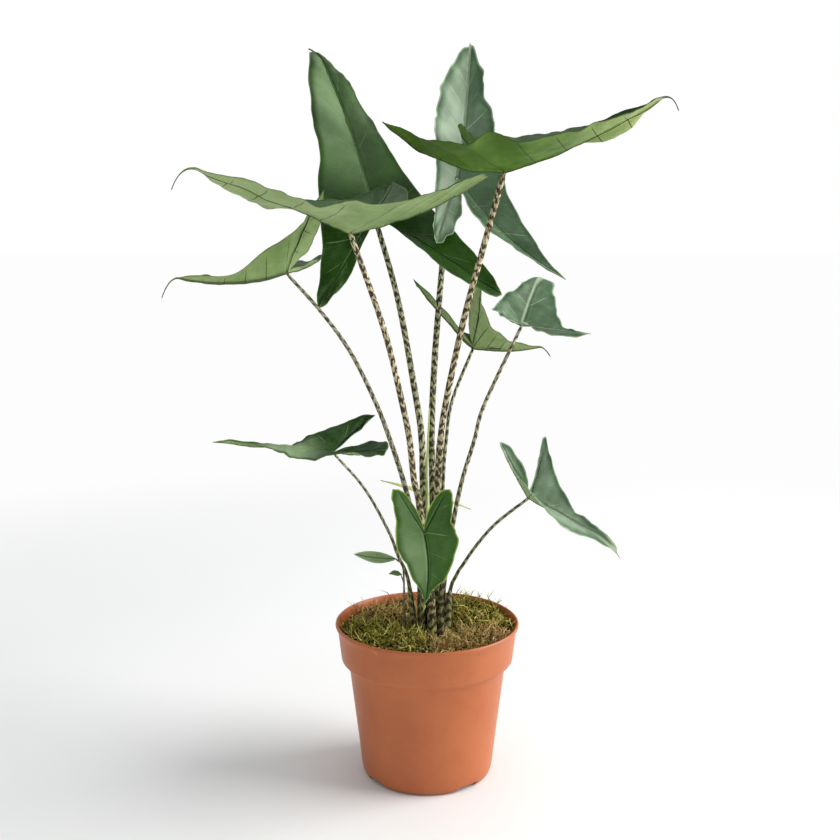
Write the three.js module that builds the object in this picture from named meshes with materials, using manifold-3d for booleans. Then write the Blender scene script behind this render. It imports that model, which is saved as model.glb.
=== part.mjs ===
// A potted alocasia with zebra-marked stalks: ten arrow-shaped leaves on long petioles,
// a rolled new leaf, three small leaves, moss on the soil and a plain plastic nursery pot.
// Millimetres, +Z up. The origin is the centre of the pot's flat underside,
// +X is the plant's right as seen from the front, and the front faces -Y.

import * as THREE from 'three';
import { mergeVertices } from 'three/addons/utils/BufferGeometryUtils.js';
import Module from 'manifold-3d';

const wasm = await Module();
wasm.setup();

// Driving dimensions

const fitGap = 0.3;            // clearance between pieces that touch
const potHeight = 145;
const lipRadius = 85;
const bodyTopRadius = 72.6;
const bodyTopHeight = 104;
const footRadius = 60.4;
const footRound = 12;          // height over which the foot curves in
const potFloor = 3;
const wallThickness = 1.8;
const soilHeight = 126;
const crownTop = 126.7;        // the flat top of the rhizome, just proud of the soil
const stalkBase = crownTop + fitGap;
const bladeThickness = 0.8;
const smallBladeThickness = 0.6;

// Colours and finishes

function finish(colour, roughness) {
  return new THREE.MeshStandardMaterial({ color: colour, roughness, metalness: 0 });
}

const potPlastic = finish(0xb4664a, 0.55);
const darkSoil = finish(0x241a12, 0.95);
const cormBark = finish(0x4b3a24, 0.9);
const greenMoss = finish(0x7d7a2c, 0.95);
const brownMoss = finish(0x6e5530, 0.95);
const deepGreenBlade = finish(0x33591f, 0.35);
const greyGreenBlade = finish(0x7f9a80, 0.4);
const paleUnderside = finish(0x93a56c, 0.5);
const zebraStalk = finish(0x8f835c, 0.45);
const greyStalk = finish(0x85806c, 0.5);
const paleShoot = finish(0xb9c47a, 0.45);

// Small vector helpers

function vec(list) {
  return new THREE.Vector3(...list);
}

function mix(terms) {
  const sum = new THREE.Vector3();
  for (const [vector, share] of terms) sum.addScaledVector(vector, share);
  return sum;
}

function squareTo(vector, axis) {
  return vector.clone().addScaledVector(axis, -vector.dot(axis)).normalize();
}

function smoothstep(from, to, x) {
  const t = THREE.MathUtils.clamp((x - from) / (to - from), 0, 1);
  return t * t * (3 - 2 * t);
}

function bell(x, centre, width) {
  return Math.exp(-(((x - centre) / width) ** 2));
}

// Solids for boolean cuts

function toSolid(geometry) {
  const bare = geometry.index ? geometry.toNonIndexed() : geometry.clone();
  bare.deleteAttribute('normal');
  bare.deleteAttribute('uv');
  const merged = mergeVertices(bare, 1e-3);
  return new wasm.Manifold(new wasm.Mesh({
    numProp: 3,
    vertProperties: merged.attributes.position.array,
    triVerts: new Uint32Array(merged.index.array),
  }));
}

function toGeometry(solid) {
  const mesh = solid.getMesh();
  const geometry = new THREE.BufferGeometry();
  geometry.setAttribute('position', new THREE.BufferAttribute(mesh.vertProperties, 3));
  geometry.setIndex(new THREE.BufferAttribute(mesh.triVerts, 1));
  return geometry;
}

// A body turned about the Z axis, from a profile of [radius, height] points
// that starts and ends on the axis, going up the outside.
function turned(profile, segments) {
  const points = profile.map(([radius, height]) => new THREE.Vector2(radius, height));
  return new THREE.LatheGeometry(points, segments).rotateX(Math.PI / 2);
}

// Pot, a tapered nursery pot with a deep collar and a small rolled lip

const potSegments = 48;
const notchCount = 4;
const notchStart = -52;        // degrees right of the front to the first notch in the foot
const notchWidth = 22;
const notchHeight = 5;
const notchDepth = 9;
const drainHoleCount = 6;
const drainHoleRadius = 4;
const drainCircleRadius = 34;

const potOutside = [
  [0, 0],
  [52, 0],
  [57.6, 1],
  [footRadius, 4],
  [61.6, footRound],
  [bodyTopRadius, bodyTopHeight],
  [79.7, 111],                 // the collar's lower edge, over a sloping step
  [82.6, 137],
  [lipRadius, 141.5],
  [lipRadius, 144],
  [84, potHeight],
];

const potInside = [
  [82.6, potHeight - 0.4],
  [80.8, 137],
  [77.9, 111.6],
  [70.8, bodyTopHeight - 0.6],
  [61.6 - wallThickness, footRound],
  [56.8, 5],
  [53.5, potFloor],
  [0, potFloor],
];

function potGeometry() {
  let pot = toSolid(turned([...potOutside, ...potInside], potSegments));
  for (let i = 0; i < notchCount; i++) {
    const notch = new THREE.BoxGeometry(notchWidth, 2 * notchDepth, 2 * notchHeight);
    notch.translate(0, -(footRadius + 2), 0);
    notch.rotateZ(THREE.MathUtils.degToRad(notchStart + (i * 360) / notchCount));
    pot = pot.subtract(toSolid(notch));
  }
  for (let i = 0; i < drainHoleCount; i++) {
    const hole = new THREE.CylinderGeometry(drainHoleRadius, drainHoleRadius, 4 * potFloor, 12);
    hole.rotateX(Math.PI / 2).translate(drainCircleRadius, 0, 0);
    hole.rotateZ((i * 2 * Math.PI) / drainHoleCount);
    pot = pot.subtract(toSolid(hole));
  }
  return toGeometry(pot);
}

// Rhizome and offset corm, knobbly stocks set in the top of the soil

const crown = {
  place: [4, 0, 0],
  profile: [[0, 96], [12, 98], [18.4, 106], [20, 116], [20, 124], [18.8, crownTop], [0, crownTop]],
  segments: 20,
};
const corm = {
  place: [-21.3, 2, 0],
  profile: [[0, 112], [3.4, 113.5], [4.8, 119], [4.8, 124], [4.3, crownTop], [0, crownTop]],
  segments: 12,
};

function stockGeometry(stock, clearance = 0) {
  const grown = stock.profile.map(([radius, height]) => [
    radius > 0 ? radius + clearance : 0,
    height < crownTop ? height - clearance : height + 2 * clearance,
  ]);
  return turned(grown, stock.segments).translate(...stock.place);
}

// Soil, a plug that fills the pot, with pockets for both stocks

function soilGeometry() {
  const bottom = potFloor + fitGap;
  const profile = [
    [0, bottom],
    [52.5, bottom],
    [56.2, 5.6],
    [61.6 - wallThickness - fitGap, footRound + 0.1],
    [70.8 - fitGap, bodyTopHeight - 0.4],
    [77.9 - fitGap, 112],
    [79, soilHeight],
    [0, soilHeight],
  ];
  const plug = toSolid(turned(profile, potSegments));
  const pockets = [crown, corm].map((stock) => toSolid(stockGeometry(stock, fitGap)));
  return toGeometry(pockets.reduce((solid, pocket) => solid.subtract(pocket), plug));
}

// Moss, four cushions in a ring round the stems, each a lumpy slab over a sector

const mossOuterRadius = 78.6;
const mossHollowRadius = 28;
const hollowFrontBulge = 13;   // the bare hollow reaches further out towards the front right
const hollowFrontAngle = -62;
const mossBottom = soilHeight + fitGap;
const mossEdgeHeight = 5;
const mossCushions = [
  { name: 'moss_left_front', from: 168, to: 272, height: 15, look: greenMoss },
  { name: 'moss_right_front', from: 272, to: 352, height: 13, look: brownMoss },
  { name: 'moss_back_right', from: 352, to: 442, height: 16, look: greenMoss },
  { name: 'moss_back_left', from: 82, to: 168, height: 8, look: brownMoss },
];

function hollowEdge(degrees) {
  const turn = THREE.MathUtils.degToRad(degrees - hollowFrontAngle);
  return mossHollowRadius + hollowFrontBulge * Math.max(0, Math.cos(turn)) ** 3;
}

function mossGeometry({ from, to, height }) {
  const rings = 5;
  const steps = 10;
  const rows = [];
  for (let i = 0; i <= steps; i++) {
    const across = i / steps;
    const row = [];
    for (let j = 0; j <= rings; j++) {
      const out = j / rings;
      const middle = THREE.MathUtils.lerp(from, to, across);
      const inner = hollowEdge(middle);
      const radius = THREE.MathUtils.lerp(inner, mossOuterRadius, out);
      const sideGap = (THREE.MathUtils.radToDeg(fitGap / 2) / radius) * (1 - 2 * across);
      const angle = THREE.MathUtils.degToRad(middle + sideGap);
      const dome = Math.sqrt(Math.sin(Math.PI * across) * Math.sin(Math.PI * out) + 0.02);
      const lumps = 0.82 + 0.18 * Math.sin(9 * across + 5 * out) * Math.cos(7 * out - 4 * across);
      const top = mossBottom + mossEdgeHeight + (height - mossEdgeHeight) * dome * lumps;
      row.push(new THREE.Vector3(radius * Math.cos(angle), radius * Math.sin(angle), top));
    }
    rows.push(row);
  }
  const floor = (point) => new THREE.Vector3(point.x, point.y, mossBottom);
  return sheetSolid([{ rows, flip: true }], floor);
}

// A closed solid between sheets of points and a second skin behind them. Each sheet is rows of
// points, shared points are merged, and the open rim between the two skins is closed.
// behind(point, normal) gives the second skin's point.
function sheetSolid(sheets, behind) {
  const points = [];
  const found = new Map();
  const indexOf = (point) => {
    const key = point.toArray().map((value) => value.toFixed(3)).join(',');
    if (!found.has(key)) {
      found.set(key, points.length);
      points.push(point);
    }
    return found.get(key);
  };
  const faces = [];
  const addFace = (a, b, c, flip) => {
    if (a === b || b === c || c === a) return;
    faces.push(flip ? [a, c, b] : [a, b, c]);
  };
  for (const { rows, flip } of sheets) {
    const ids = rows.map((row) => row.map(indexOf));
    for (let i = 0; i + 1 < ids.length; i++) {
      for (let j = 0; j + 1 < ids[i].length; j++) {
        addFace(ids[i][j], ids[i + 1][j], ids[i + 1][j + 1], flip);
        addFace(ids[i][j], ids[i + 1][j + 1], ids[i][j + 1], flip);
      }
    }
  }
  const normals = points.map(() => new THREE.Vector3());
  for (const face of faces) {
    const [a, b, c] = face.map((id) => points[id]);
    const normal = new THREE.Vector3().crossVectors(b.clone().sub(a), c.clone().sub(a));
    for (const id of face) normals[id].add(normal);
  }
  const second = points.map((point, id) => behind(point, normals[id].normalize()));
  const edges = new Set(faces.flatMap(([a, b, c]) => [`${a},${b}`, `${b},${c}`, `${c},${a}`]));
  const shift = points.length;
  const all = faces.flat();
  for (const [a, b, c] of faces) {
    all.push(shift + a, shift + c, shift + b);
    for (const [p, q] of [[a, b], [b, c], [c, a]]) {
      if (edges.has(`${q},${p}`)) continue;
      all.push(q, p, shift + p, q, shift + p, shift + q);
    }
  }
  const geometry = new THREE.BufferGeometry();
  geometry.setFromPoints([...points, ...second]);
  geometry.setIndex(all);
  return geometry;
}

function backedBy(thickness) {
  return (point, normal) => point.clone().addScaledVector(normal, -thickness);
}

// Arrow-shaped blades
//
// joint is where the petiole meets the blade. The midrib runs from it to the apex and a costa
// to the tip of each basal lobe, all three as arched curves. apex and lobes are offsets from the
// joint, lobes as [left, right] seen from the upper face with the apex up. The outer part of each
// half spans from the midrib and costa to one curved margin that runs from the apex to the lobe's
// tip; the inner part spans from the costa to the margin of the sinus between the lobes.
// Widths are shares of the midrib's length, folds are degrees that a margin rises out of the
// blade's plane, and arches are millimetres out of it.

const bladeDefaults = {
  reach: [0.42, 0.42],
  lobeReach: [0.95, 0.95],
  midribArch: 0,
  lobeArch: [0, 0],
  lobeBow: [0, 0],
  taper: [0, 0.1],
  web: 0.05,
  tipCurl: [0, 0, 0],
  curlFrom: 0.85,
  cushions: [[], []],
  lifts: [[], []],
  ripple: [null, null],
};
const jointShare = 0.58;       // share of the outer margin that lies ahead of the joint
const apexSteps = 9;
const lobeSteps = 6;
const crossSteps = 3;

const blades = [
  {
    name: 'blade_upper_left',
    look: paleUnderside,
    joint: [-66, -30, 501],
    apex: [-148, -45, 64],
    lobes: [[112, -75, 43], [34, 88, 46]],
    faceUp: [0.1, 0.1, 0.98],
    fold: [-16, 10],
    lobeFold: [-5, 6],
    sinusFold: [30, 30],
    width: [0.28, 0.34],
    lobeWidth: [0.13, 0.2],
    sinusWidth: [0.08, 0.13],
    midribArch: -14,
    lobeArch: [-11, -8],
    taper: [0.07, 0.16],
    tipCurl: [6, 0, -30],
    curlFrom: 0.82,
    ripple: [{ height: 5, waves: 2.8, phase: -2 }, null],
    cushions: [[[-3, 0.4, 0.2]], [[-16, 0.26, 0.13]]],
    lifts: [[[-7, 0.72, 0.12], [-5, 0.48, 0.12]], []],
  },
  {
    name: 'blade_top_left',
    look: deepGreenBlade,
    joint: [-50, 65, 520],
    apex: [-60, 75, 164],
    lobes: [[-49, -35, -87], [117, -50, -75]],
    faceUp: [0.35, -0.85, 0.45],
    fold: [8, 8],
    lobeFold: [8, 8],
    sinusFold: [8, 8],
    width: [0.18, 0.13],
    lobeWidth: [0.05, 0.06],
    sinusWidth: [0.06, 0.09],
    reach: [0.62, 0.62],
    midribArch: 6,
    lobeArch: [-4, 6],
    taper: [0, 0.06],
    web: 0.1,
    tipCurl: [-6, 6, -5],
  },
  {
    name: 'blade_top_centre',
    look: greyGreenBlade,
    joint: [28, 85, 553],
    apex: [14, 45, 130],
    lobes: [[-19, -30, -62], [98, -60, -94]],
    faceUp: [0.1, -0.9, 0.4],
    fold: [14, 14],
    lobeFold: [14, 20],
    sinusFold: [20, 20],
    width: [0.3, 0.14],
    lobeWidth: [0.06, 0.05],
    sinusWidth: [0.13, 0.08],
    reach: [0.6, 0.55],
    lobeReach: [0.95, 0.45],
    midribArch: -4,
    lobeArch: [-8, -6],
    lobeBow: [0, -16],
    taper: [0, 0.06],
  },
  {
    name: 'blade_top_right',
    look: paleUnderside,
    joint: [65, -20, 552],
    apex: [146, -35, 71],
    lobes: [[-34, 105, 44], [-101, -70, 35]],
    faceUp: [-0.1, 0.1, 0.98],
    fold: [14, -14],
    lobeFold: [8, -4],
    sinusFold: [30, 30],
    width: [0.34, 0.27],
    lobeWidth: [0.2, 0.12],
    sinusWidth: [0.13, 0.08],
    midribArch: -14,
    lobeArch: [-8, -20],
    taper: [0.05, 0.13],
    tipCurl: [-6, 0, -24],
    curlFrom: 0.84,
    cushions: [[[-20, 0.28, 0.12]], [[-3, 0.4, 0.2]]],
    lifts: [[], [[-9, 0.76, 0.09], [-3, 0.52, 0.1]]],
  },
  {
    name: 'blade_middle_left',
    look: paleUnderside,
    joint: [-127, 20, 465],
    apex: [-109, -30, 1],
    lobes: [[33, 20, 75], [28, 80, 16]],
    faceUp: [-0.35, 0.1, 0.95],
    fold: [-14, 14],
    lobeFold: [-6, 6],
    sinusFold: [-60, 30],
    width: [0, 0.24],
    lobeWidth: [0.09, 0.12],
    sinusWidth: [0.12, 0.12],
    reach: [0.3, 0.42],
    lobeReach: [0.6, 0.95],
    midribArch: -18,
    lobeArch: [6, -6],
    taper: [0.05, 0.14],
    tipCurl: [6, 0, -24],
    curlFrom: 0.84,
    ripple: [{ height: 3, waves: 3, phase: -1.5 }, null],
  },
  {
    name: 'blade_middle_right_back',
    look: paleUnderside,
    joint: [45, 85, 391],
    apex: [76, -20, 5],
    lobes: [[-58, 25, 65], [6, -30, 62]],
    faceUp: [-0.1, 0.5, 0.85],
    fold: [-30, -10],
    lobeFold: [-20, -6],
    sinusFold: [0, 60],
    width: [0.1, 0.1],
    lobeWidth: [0.06, 0.12],
    sinusWidth: [0.05, 0.22],
    reach: [0.3, 0.2],
    lobeReach: [0.6, 0.5],
    midribArch: -6,
    lobeArch: [-5, -5],
    tipCurl: [0, 0, -12],
  },
  {
    name: 'blade_middle_right',
    look: greyGreenBlade,
    joint: [86, 20, 418],
    apex: [24, 80, 41],
    lobes: [[-24, -15, 15], [64, 5, -9]],
    faceUp: [0, -0.8, 0.6],
    fold: [4, 4],
    lobeFold: [4, 4],
    sinusFold: [10, -20],
    width: [0.36, 0.2],
    lobeWidth: [0.16, 0.04],
    sinusWidth: [0.1, 0.06],
    lobeReach: [0.95, 0.5],
    midribArch: 18,
    taper: [0, 0.08],
  },
  {
    name: 'blade_low_right',
    look: deepGreenBlade,
    joint: [89, -45, 273],
    apex: [74, -35, -45],
    lobes: [[14, 25, 48], [-28, -25, 53]],
    faceUp: [0.1, -0.6, 0.8],
    fold: [10, -6],
    lobeFold: [10, 10],
    sinusFold: [10, 30],
    width: [0.09, 0.26],
    lobeWidth: [0.05, 0.09],
    sinusWidth: [0.07, 0.06],
    midribArch: -8,
    lobeArch: [-3, -3],
    tipCurl: [0, 0, -6],
  },
  {
    name: 'blade_low_left',
    look: deepGreenBlade,
    joint: [-83, -30, 310],
    apex: [-101, -25, 17],
    lobes: [[49, -55, 13], [35, 45, 26]],
    faceUp: [0, -0.02, 1],
    fold: [-4, -10],
    lobeFold: [0, 0],
    sinusFold: [0, 0],
    width: [0.36, 0.1],
    lobeWidth: [0.15, 0.12],
    sinusWidth: [0.13, 0.12],
    midribArch: -4,
    lobeArch: [-3, -3],
  },
  {
    name: 'blade_low_front',
    look: deepGreenBlade,
    joint: [-3, -62, 245],
    apex: [-1, -32, -60],
    lobes: [[20, 12, 36], [-24, 12, 36]],
    faceUp: [0, -0.85, 0.5],
    fold: [6, 6],
    lobeFold: [6, 6],
    sinusFold: [6, 6],
    width: [0.62, 0.42],
    lobeWidth: [0.13, 0.14],
    sinusWidth: [0.16, 0.16],
    midribArch: 3,
    lobeArch: [2, 2],
    web: 0.2,
  },
];

function bezier(points, t) {
  const [a, b, c, d] = points;
  const s = 1 - t;
  if (points.length === 3) return mix([[a, s * s], [b, 2 * s * t], [c, t * t]]);
  return mix([[a, s ** 3], [b, 3 * s * s * t], [c, 3 * s * t * t], [d, t ** 3]]);
}

// The blade's own directions at the joint: ahead along the midrib, out of its face, to its left.
function bladeAxes(blade) {
  const ahead = vec(blade.apex).normalize();
  const out = squareTo(vec(blade.faceUp), ahead);
  return { ahead, out, left: new THREE.Vector3().crossVectors(out, ahead) };
}

function tilted(sideways, outward, degrees) {
  const angle = THREE.MathUtils.degToRad(degrees);
  return mix([[sideways, Math.cos(angle)], [outward, Math.sin(angle)]]);
}

// One half of a blade, side 0 on the left and 1 on the right, as an outer and an inner sheet.
function halfBlade(blade, side) {
  const { ahead, out, left } = bladeAxes(blade);
  const joint = vec(blade.joint);
  const apex = joint.clone().add(vec(blade.apex));
  const lobeTip = joint.clone().add(vec(blade.lobes[side]));
  const length = apex.distanceTo(joint);
  const sideways = left.clone().multiplyScalar(side === 0 ? 1 : -1);
  const toLobe = vec(blade.lobes[side]).normalize();
  const lobeSide = squareTo(sideways, toLobe);
  const lobeOut = new THREE.Vector3().crossVectors(toLobe, lobeSide);
  if (lobeOut.dot(out) < 0) lobeOut.negate();

  const midribArch = out.clone().multiplyScalar(blade.midribArch);
  const costaArch = mix([[lobeOut, blade.lobeArch[side]], [lobeSide, blade.lobeBow[side]]]);
  const midrib = [joint, mix([[joint, 0.5], [apex, 0.5], [midribArch, 1]]), apex];
  const costa = [joint, mix([[joint, 0.5], [lobeTip, 0.5], [costaArch, 1]]), lobeTip];
  const reach = blade.reach[side];
  const lobeReach = blade.lobeReach[side];
  const margin = [
    apex,
    mix([
      [joint, 1 - reach],
      [apex, reach],
      [tilted(sideways, out, blade.fold[side]), blade.width[side] * length],
      [midribArch, 0.9],
    ]),
    mix([
      [joint, 1 - lobeReach],
      [lobeTip, lobeReach],
      [tilted(lobeSide, lobeOut, blade.lobeFold[side]), blade.lobeWidth[side] * length],
      [costaArch, 0.3],
    ]),
    lobeTip,
  ];

  // The tip of the apex curls over and hangs as a thin thread.
  const curl = vec(blade.tipCurl);
  const curled = (point) => {
    const along = point.clone().sub(joint).dot(ahead) / length;
    const past = THREE.MathUtils.clamp((along - blade.curlFrom) / (1 - blade.curlFrom), 0, 2);
    return point.addScaledVector(curl, past * past);
  };
  const rise = (shapes, u) => {
    return shapes.reduce((sum, [height, at, spread]) => sum + height * bell(u, at, spread), 0);
  };
  const ripple = blade.ripple[side];
  const outerPoint = (u, v) => {
    const ahead01 = 1 - u / jointShare;
    const behind01 = (u - jointShare) / (1 - jointShare);
    const rib = u <= jointShare ? bezier(midrib, ahead01) : bezier(costa, behind01);
    const along = u <= jointShare
      ? jointShare * (1 - ahead01 ** 0.8)
      : jointShare + (1 - jointShare) * behind01 ** 0.8;
    const spread = v * Math.max(0.15, smoothstep(blade.taper[0], blade.taper[1], u));
    const point = mix([[rib, 1 - spread], [bezier(margin, along), spread]]);
    let lift = rise(blade.cushions[side], u) * 4 * v * (1 - v) + rise(blade.lifts[side], u) * v * v;
    if (ripple) {
      lift += ripple.height * Math.sin(Math.PI * u) * v * v
        * Math.sin(2 * Math.PI * ripple.waves * u + ripple.phase);
    }
    return curled(point.addScaledVector(out, lift));
  };

  const back = mix(blade.lobes.map((lobe) => [vec(lobe).normalize(), 1])).normalize();
  const sinusFoot = joint.clone().addScaledVector(back, blade.web * length);
  const inward = tilted(lobeSide.clone().negate(), lobeOut, blade.sinusFold[side]);
  const sinusPoint = (share, archShare) => mix([
    [joint, 1 - share],
    [lobeTip, share],
    [inward, blade.sinusWidth[side] * length],
    [costaArch, archShare],
  ]);
  const sinusMargin = [sinusFoot, sinusPoint(0.35, 0.6), sinusPoint(lobeReach, 0.3), lobeTip];

  const outer = [];
  for (let i = 0; i <= apexSteps; i++) outer.push((jointShare * i) / apexSteps);
  for (let i = 1; i <= lobeSteps; i++) outer.push(jointShare + ((1 - jointShare) * i) / lobeSteps);
  const across = Array.from({ length: crossSteps + 1 }, (_, j) => j / crossSteps);
  const outerRows = outer.map((u) => across.map((v) => outerPoint(u, v)));
  const innerRows = [];
  for (let i = 0; i <= lobeSteps; i++) {
    const rib = bezier(costa, i / lobeSteps);
    const edge = bezier(sinusMargin, i / lobeSteps);
    innerRows.push(across.map((v) => mix([[rib, 1 - v], [edge, v]])));
  }
  return [
    { rows: outerRows, flip: side === 0 },
    { rows: innerRows, flip: side === 1 },
  ];
}

function bladeGeometry(blade) {
  return sheetSolid([...halfBlade(blade, 0), ...halfBlade(blade, 1)], backedBy(bladeThickness));
}

// Small undivided blades, lance-shaped, with a midrib from one end to the other

const narrowBlades = [
  {
    name: 'offset_blade_large',
    look: greyGreenBlade,
    start: [-28, 2, 203],
    end: [-67, -10, 211],
    faceUp: [0, -0.55, 0.83],
    halfWidth: 7,
    fold: 12,
    sag: -2,
  },
  {
    name: 'offset_blade_small',
    look: deepGreenBlade,
    start: [-23.5, -1, 188.5],
    end: [-35, -6, 191],
    faceUp: [0.2, -0.4, 0.9],
    halfWidth: 3.6,
    fold: 10,
    sag: 1.5,
  },
  {
    name: 'young_leaf_blade',
    look: paleShoot,
    start: [41, 34, 242],
    end: [-44, 34, 270],
    faceUp: [0.3, -0.2, 0.9],
    halfWidth: 4.5,
    fold: 16,
    sag: 1,
  },
];

function narrowBladeGeometry({ start, end, faceUp, halfWidth, fold, sag }) {
  const steps = 10;
  const ends = [vec(start), vec(end)];
  const ahead = ends[1].clone().sub(ends[0]).normalize();
  const out = squareTo(vec(faceUp), ahead);
  const left = new THREE.Vector3().crossVectors(out, ahead);
  const sheetOf = (side) => {
    const sideways = tilted(left.clone().multiplyScalar(side), out, fold);
    const rows = [];
    for (let i = 0; i <= steps; i++) {
      const u = i / steps;
      const rib = mix([[ends[0], 1 - u], [ends[1], u], [out, 4 * sag * u * (1 - u)]]);
      const width = halfWidth * Math.sin(Math.PI * u) ** 0.85;
      rows.push([0, 0.5, 1].map((v) => rib.clone().addScaledVector(sideways, width * v)));
    }
    return { rows, flip: side < 0 };
  };
  return sheetSolid([sheetOf(1), sheetOf(-1)], backedBy(smallBladeThickness));
}

// Petioles and the rolled new leaf, round stalks that taper along a smooth curve
//
// radii are at the sheathing base, just above it, and at the top. foot is the [x, y] place on
// the rhizome or corm, and through lists the points up to the blade, its last one the stalk's end.

const stalkSides = 8;
const sheathShare = 0.2;       // share of the stalk's length over which the sheath fades
const neckShare = 0.55;        // radius of the stalk's very end as a share of its top radius

const petioles = [
  {
    name: 'petiole_upper_left',
    look: zebraStalk,
    radii: [4.2, 3.2, 2.5],
    foot: [5, -12],
    through: [[3, -12, 178], [-3, -12, 225], [-8, -12, 263], [-12, -13, 281], [-16, -14, 318],
      [-23, -16, 354], [-38, -21, 417], [-65.5, -30, 499.8]],
  },
  {
    name: 'petiole_top_left',
    look: zebraStalk,
    radii: [4, 3.2, 2.6],
    foot: [-3.5, 9.5],
    through: [[-3, 8, 200], [-4, 11, 276], [-5, 15, 313], [-10, 21, 349], [-27, 45, 439],
      [-50.5, 67.2, 518.5]],
  },
  {
    name: 'petiole_top_centre',
    look: zebraStalk,
    radii: [4, 3.2, 2.6],
    foot: [5.5, 11],
    through: [[6, 14, 199], [5, 19, 274], [4, 23, 311], [5, 28, 348], [9, 45, 411], [17, 70, 494],
      [27.5, 87.7, 551.4]],
  },
  {
    name: 'petiole_top_right',
    look: zebraStalk,
    radii: [4, 3.2, 2.8],
    foot: [11, 3.5],
    through: [[8, 3, 202], [10, 0, 278], [12, -1, 316], [17, -3, 352], [32, -9, 425],
      [50, -15, 494], [65, -20, 550.6]],
  },
  {
    name: 'petiole_middle_left',
    look: zebraStalk,
    radii: [3.8, 2.6, 1.4],
    foot: [-5, 1],
    through: [[-7, 1, 202], [-13, 3, 240], [-22, 5, 277], [-34, 8, 314], [-47, 11, 348],
      [-70, 15, 394], [-97, 18, 431], [-126.4, 20, 463.8]],
  },
  {
    name: 'petiole_middle_right_back',
    look: zebraStalk,
    radii: [2.4, 2, 1.5],
    foot: [12.5, 12],
    through: [[12, 16, 198], [15, 27, 272], [18, 36, 309], [24, 52, 344], [45, 84, 390.4]],
  },
  {
    name: 'petiole_middle_right',
    look: zebraStalk,
    radii: [3.6, 2.2, 1.6],
    foot: [12, -5.5],
    through: [[14, -5, 176], [20, -4, 213], [25, -2, 246], [32, 2, 278], [43, 7, 314],
      [52, 11, 346], [86, 21.3, 416.8]],
  },
  {
    name: 'petiole_low_right',
    look: greyStalk,
    radii: [3.2, 1.7, 1.3],
    foot: [19, -1.5],
    through: [[21, -7, 174], [27, -10, 192], [33, -13, 203], [45, -19, 223], [62, -29, 246],
      [88.6, -44.5, 271.4]],
  },
  {
    name: 'petiole_low_left',
    look: greyStalk,
    radii: [3.2, 1.7, 1.1],
    foot: [-11, -4.5],
    through: [[-15, -6, 169], [-19, -8, 192], [-27, -11, 211], [-35, -15, 234], [-56, -22, 275],
      [-82.5, -30, 308.3]],
  },
  {
    name: 'petiole_low_front',
    look: zebraStalk,
    radii: [3, 2.2, 1.7],
    foot: [-3.5, -8],
    through: [[-5, -16, 179], [-5, -30, 212], [-3, -60.7, 244.4]],
  },
  {
    name: 'new_leaf_roll',
    look: paleShoot,
    radii: [2.6, 2.6, 0.6],
    foot: [3, -2],
    through: [[2, -2, 175], [0, -4, 259], [0, -4, 298], [2, -3, 345]],
  },
  {
    name: 'young_leaf_petiole',
    look: paleShoot,
    radii: [1.6, 1.4, 1.2],
    foot: [-0.5, 16.5],
    through: [[-1, 27, 190], [-1.5, 34, 255.6]],
  },
  {
    name: 'offset_petiole_large',
    look: greyStalk,
    radii: [1.4, 1, 0.8],
    foot: [-22, 4],
    through: [[-21.5, 5, 177], [-23, 4, 196], [-28.4, 2.6, 201.8]],
  },
  {
    name: 'offset_petiole_small',
    look: greyStalk,
    radii: [1.1, 0.8, 0.6],
    foot: [-20.5, 0],
    through: [[-21, -0.5, 174], [-23.9, -1, 187.2]],
  },
];

function stalkRadius([base, middle, top], t) {
  return top + (middle - top) * (1 - t) + (base - middle) * Math.exp(-((t / sheathShare) ** 2));
}

function stalkGeometry({ foot, through, radii }) {
  const route = new THREE.CatmullRomCurve3([vec([...foot, stalkBase]), ...through.map(vec)],
    false, 'catmullrom', 0.5);
  const steps = Math.max(5, Math.min(14, Math.round(route.getLength() / 26)));
  const centres = route.getSpacedPoints(steps);
  const frames = route.computeFrenetFrames(steps, false);
  // The base ring lies flat on the stock, so the curve's frame is used from the next ring on.
  const stalk = new THREE.CylinderGeometry(1, 1, 1, stalkSides, steps);
  stalk.deleteAttribute('normal');
  stalk.deleteAttribute('uv');
  const geometry = mergeVertices(stalk);
  const position = geometry.attributes.position;
  for (let id = 0; id < position.count; id++) {
    const ring = Math.round((position.getY(id) + 0.5) * steps);
    const neck = ring === steps ? neckShare : 1;
    const radius = stalkRadius(radii, ring / steps) * neck;
    const across = position.getX(id) * radius;
    const beside = -position.getZ(id) * radius;
    const axes = [frames.normals[ring], frames.binormals[ring]];
    const point = mix([[centres[ring], 1], [axes[0], across], [axes[1], beside]]);
    if (ring === 0) point.z = stalkBase;
    position.setXYZ(id, point.x, point.y, point.z);
  }
  return geometry;
}

// The whole plant

const plant = new THREE.Group();

function addPiece(name, geometry, look) {
  const mesh = new THREE.Mesh(geometry, look.clone());
  mesh.name = name;
  plant.add(mesh);
}

addPiece('pot', potGeometry(), potPlastic);
addPiece('soil', soilGeometry(), darkSoil);
addPiece('rhizome', stockGeometry(crown), cormBark);
addPiece('offset_corm', stockGeometry(corm), cormBark);
for (const cushion of mossCushions) addPiece(cushion.name, mossGeometry(cushion), cushion.look);
for (const blade of blades) {
  addPiece(blade.name, bladeGeometry({ ...bladeDefaults, ...blade }), blade.look);
}
for (const blade of narrowBlades) addPiece(blade.name, narrowBladeGeometry(blade), blade.look);
for (const stalk of petioles) addPiece(stalk.name, stalkGeometry(stalk), stalk.look);

export default plant;
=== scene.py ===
import math

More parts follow.
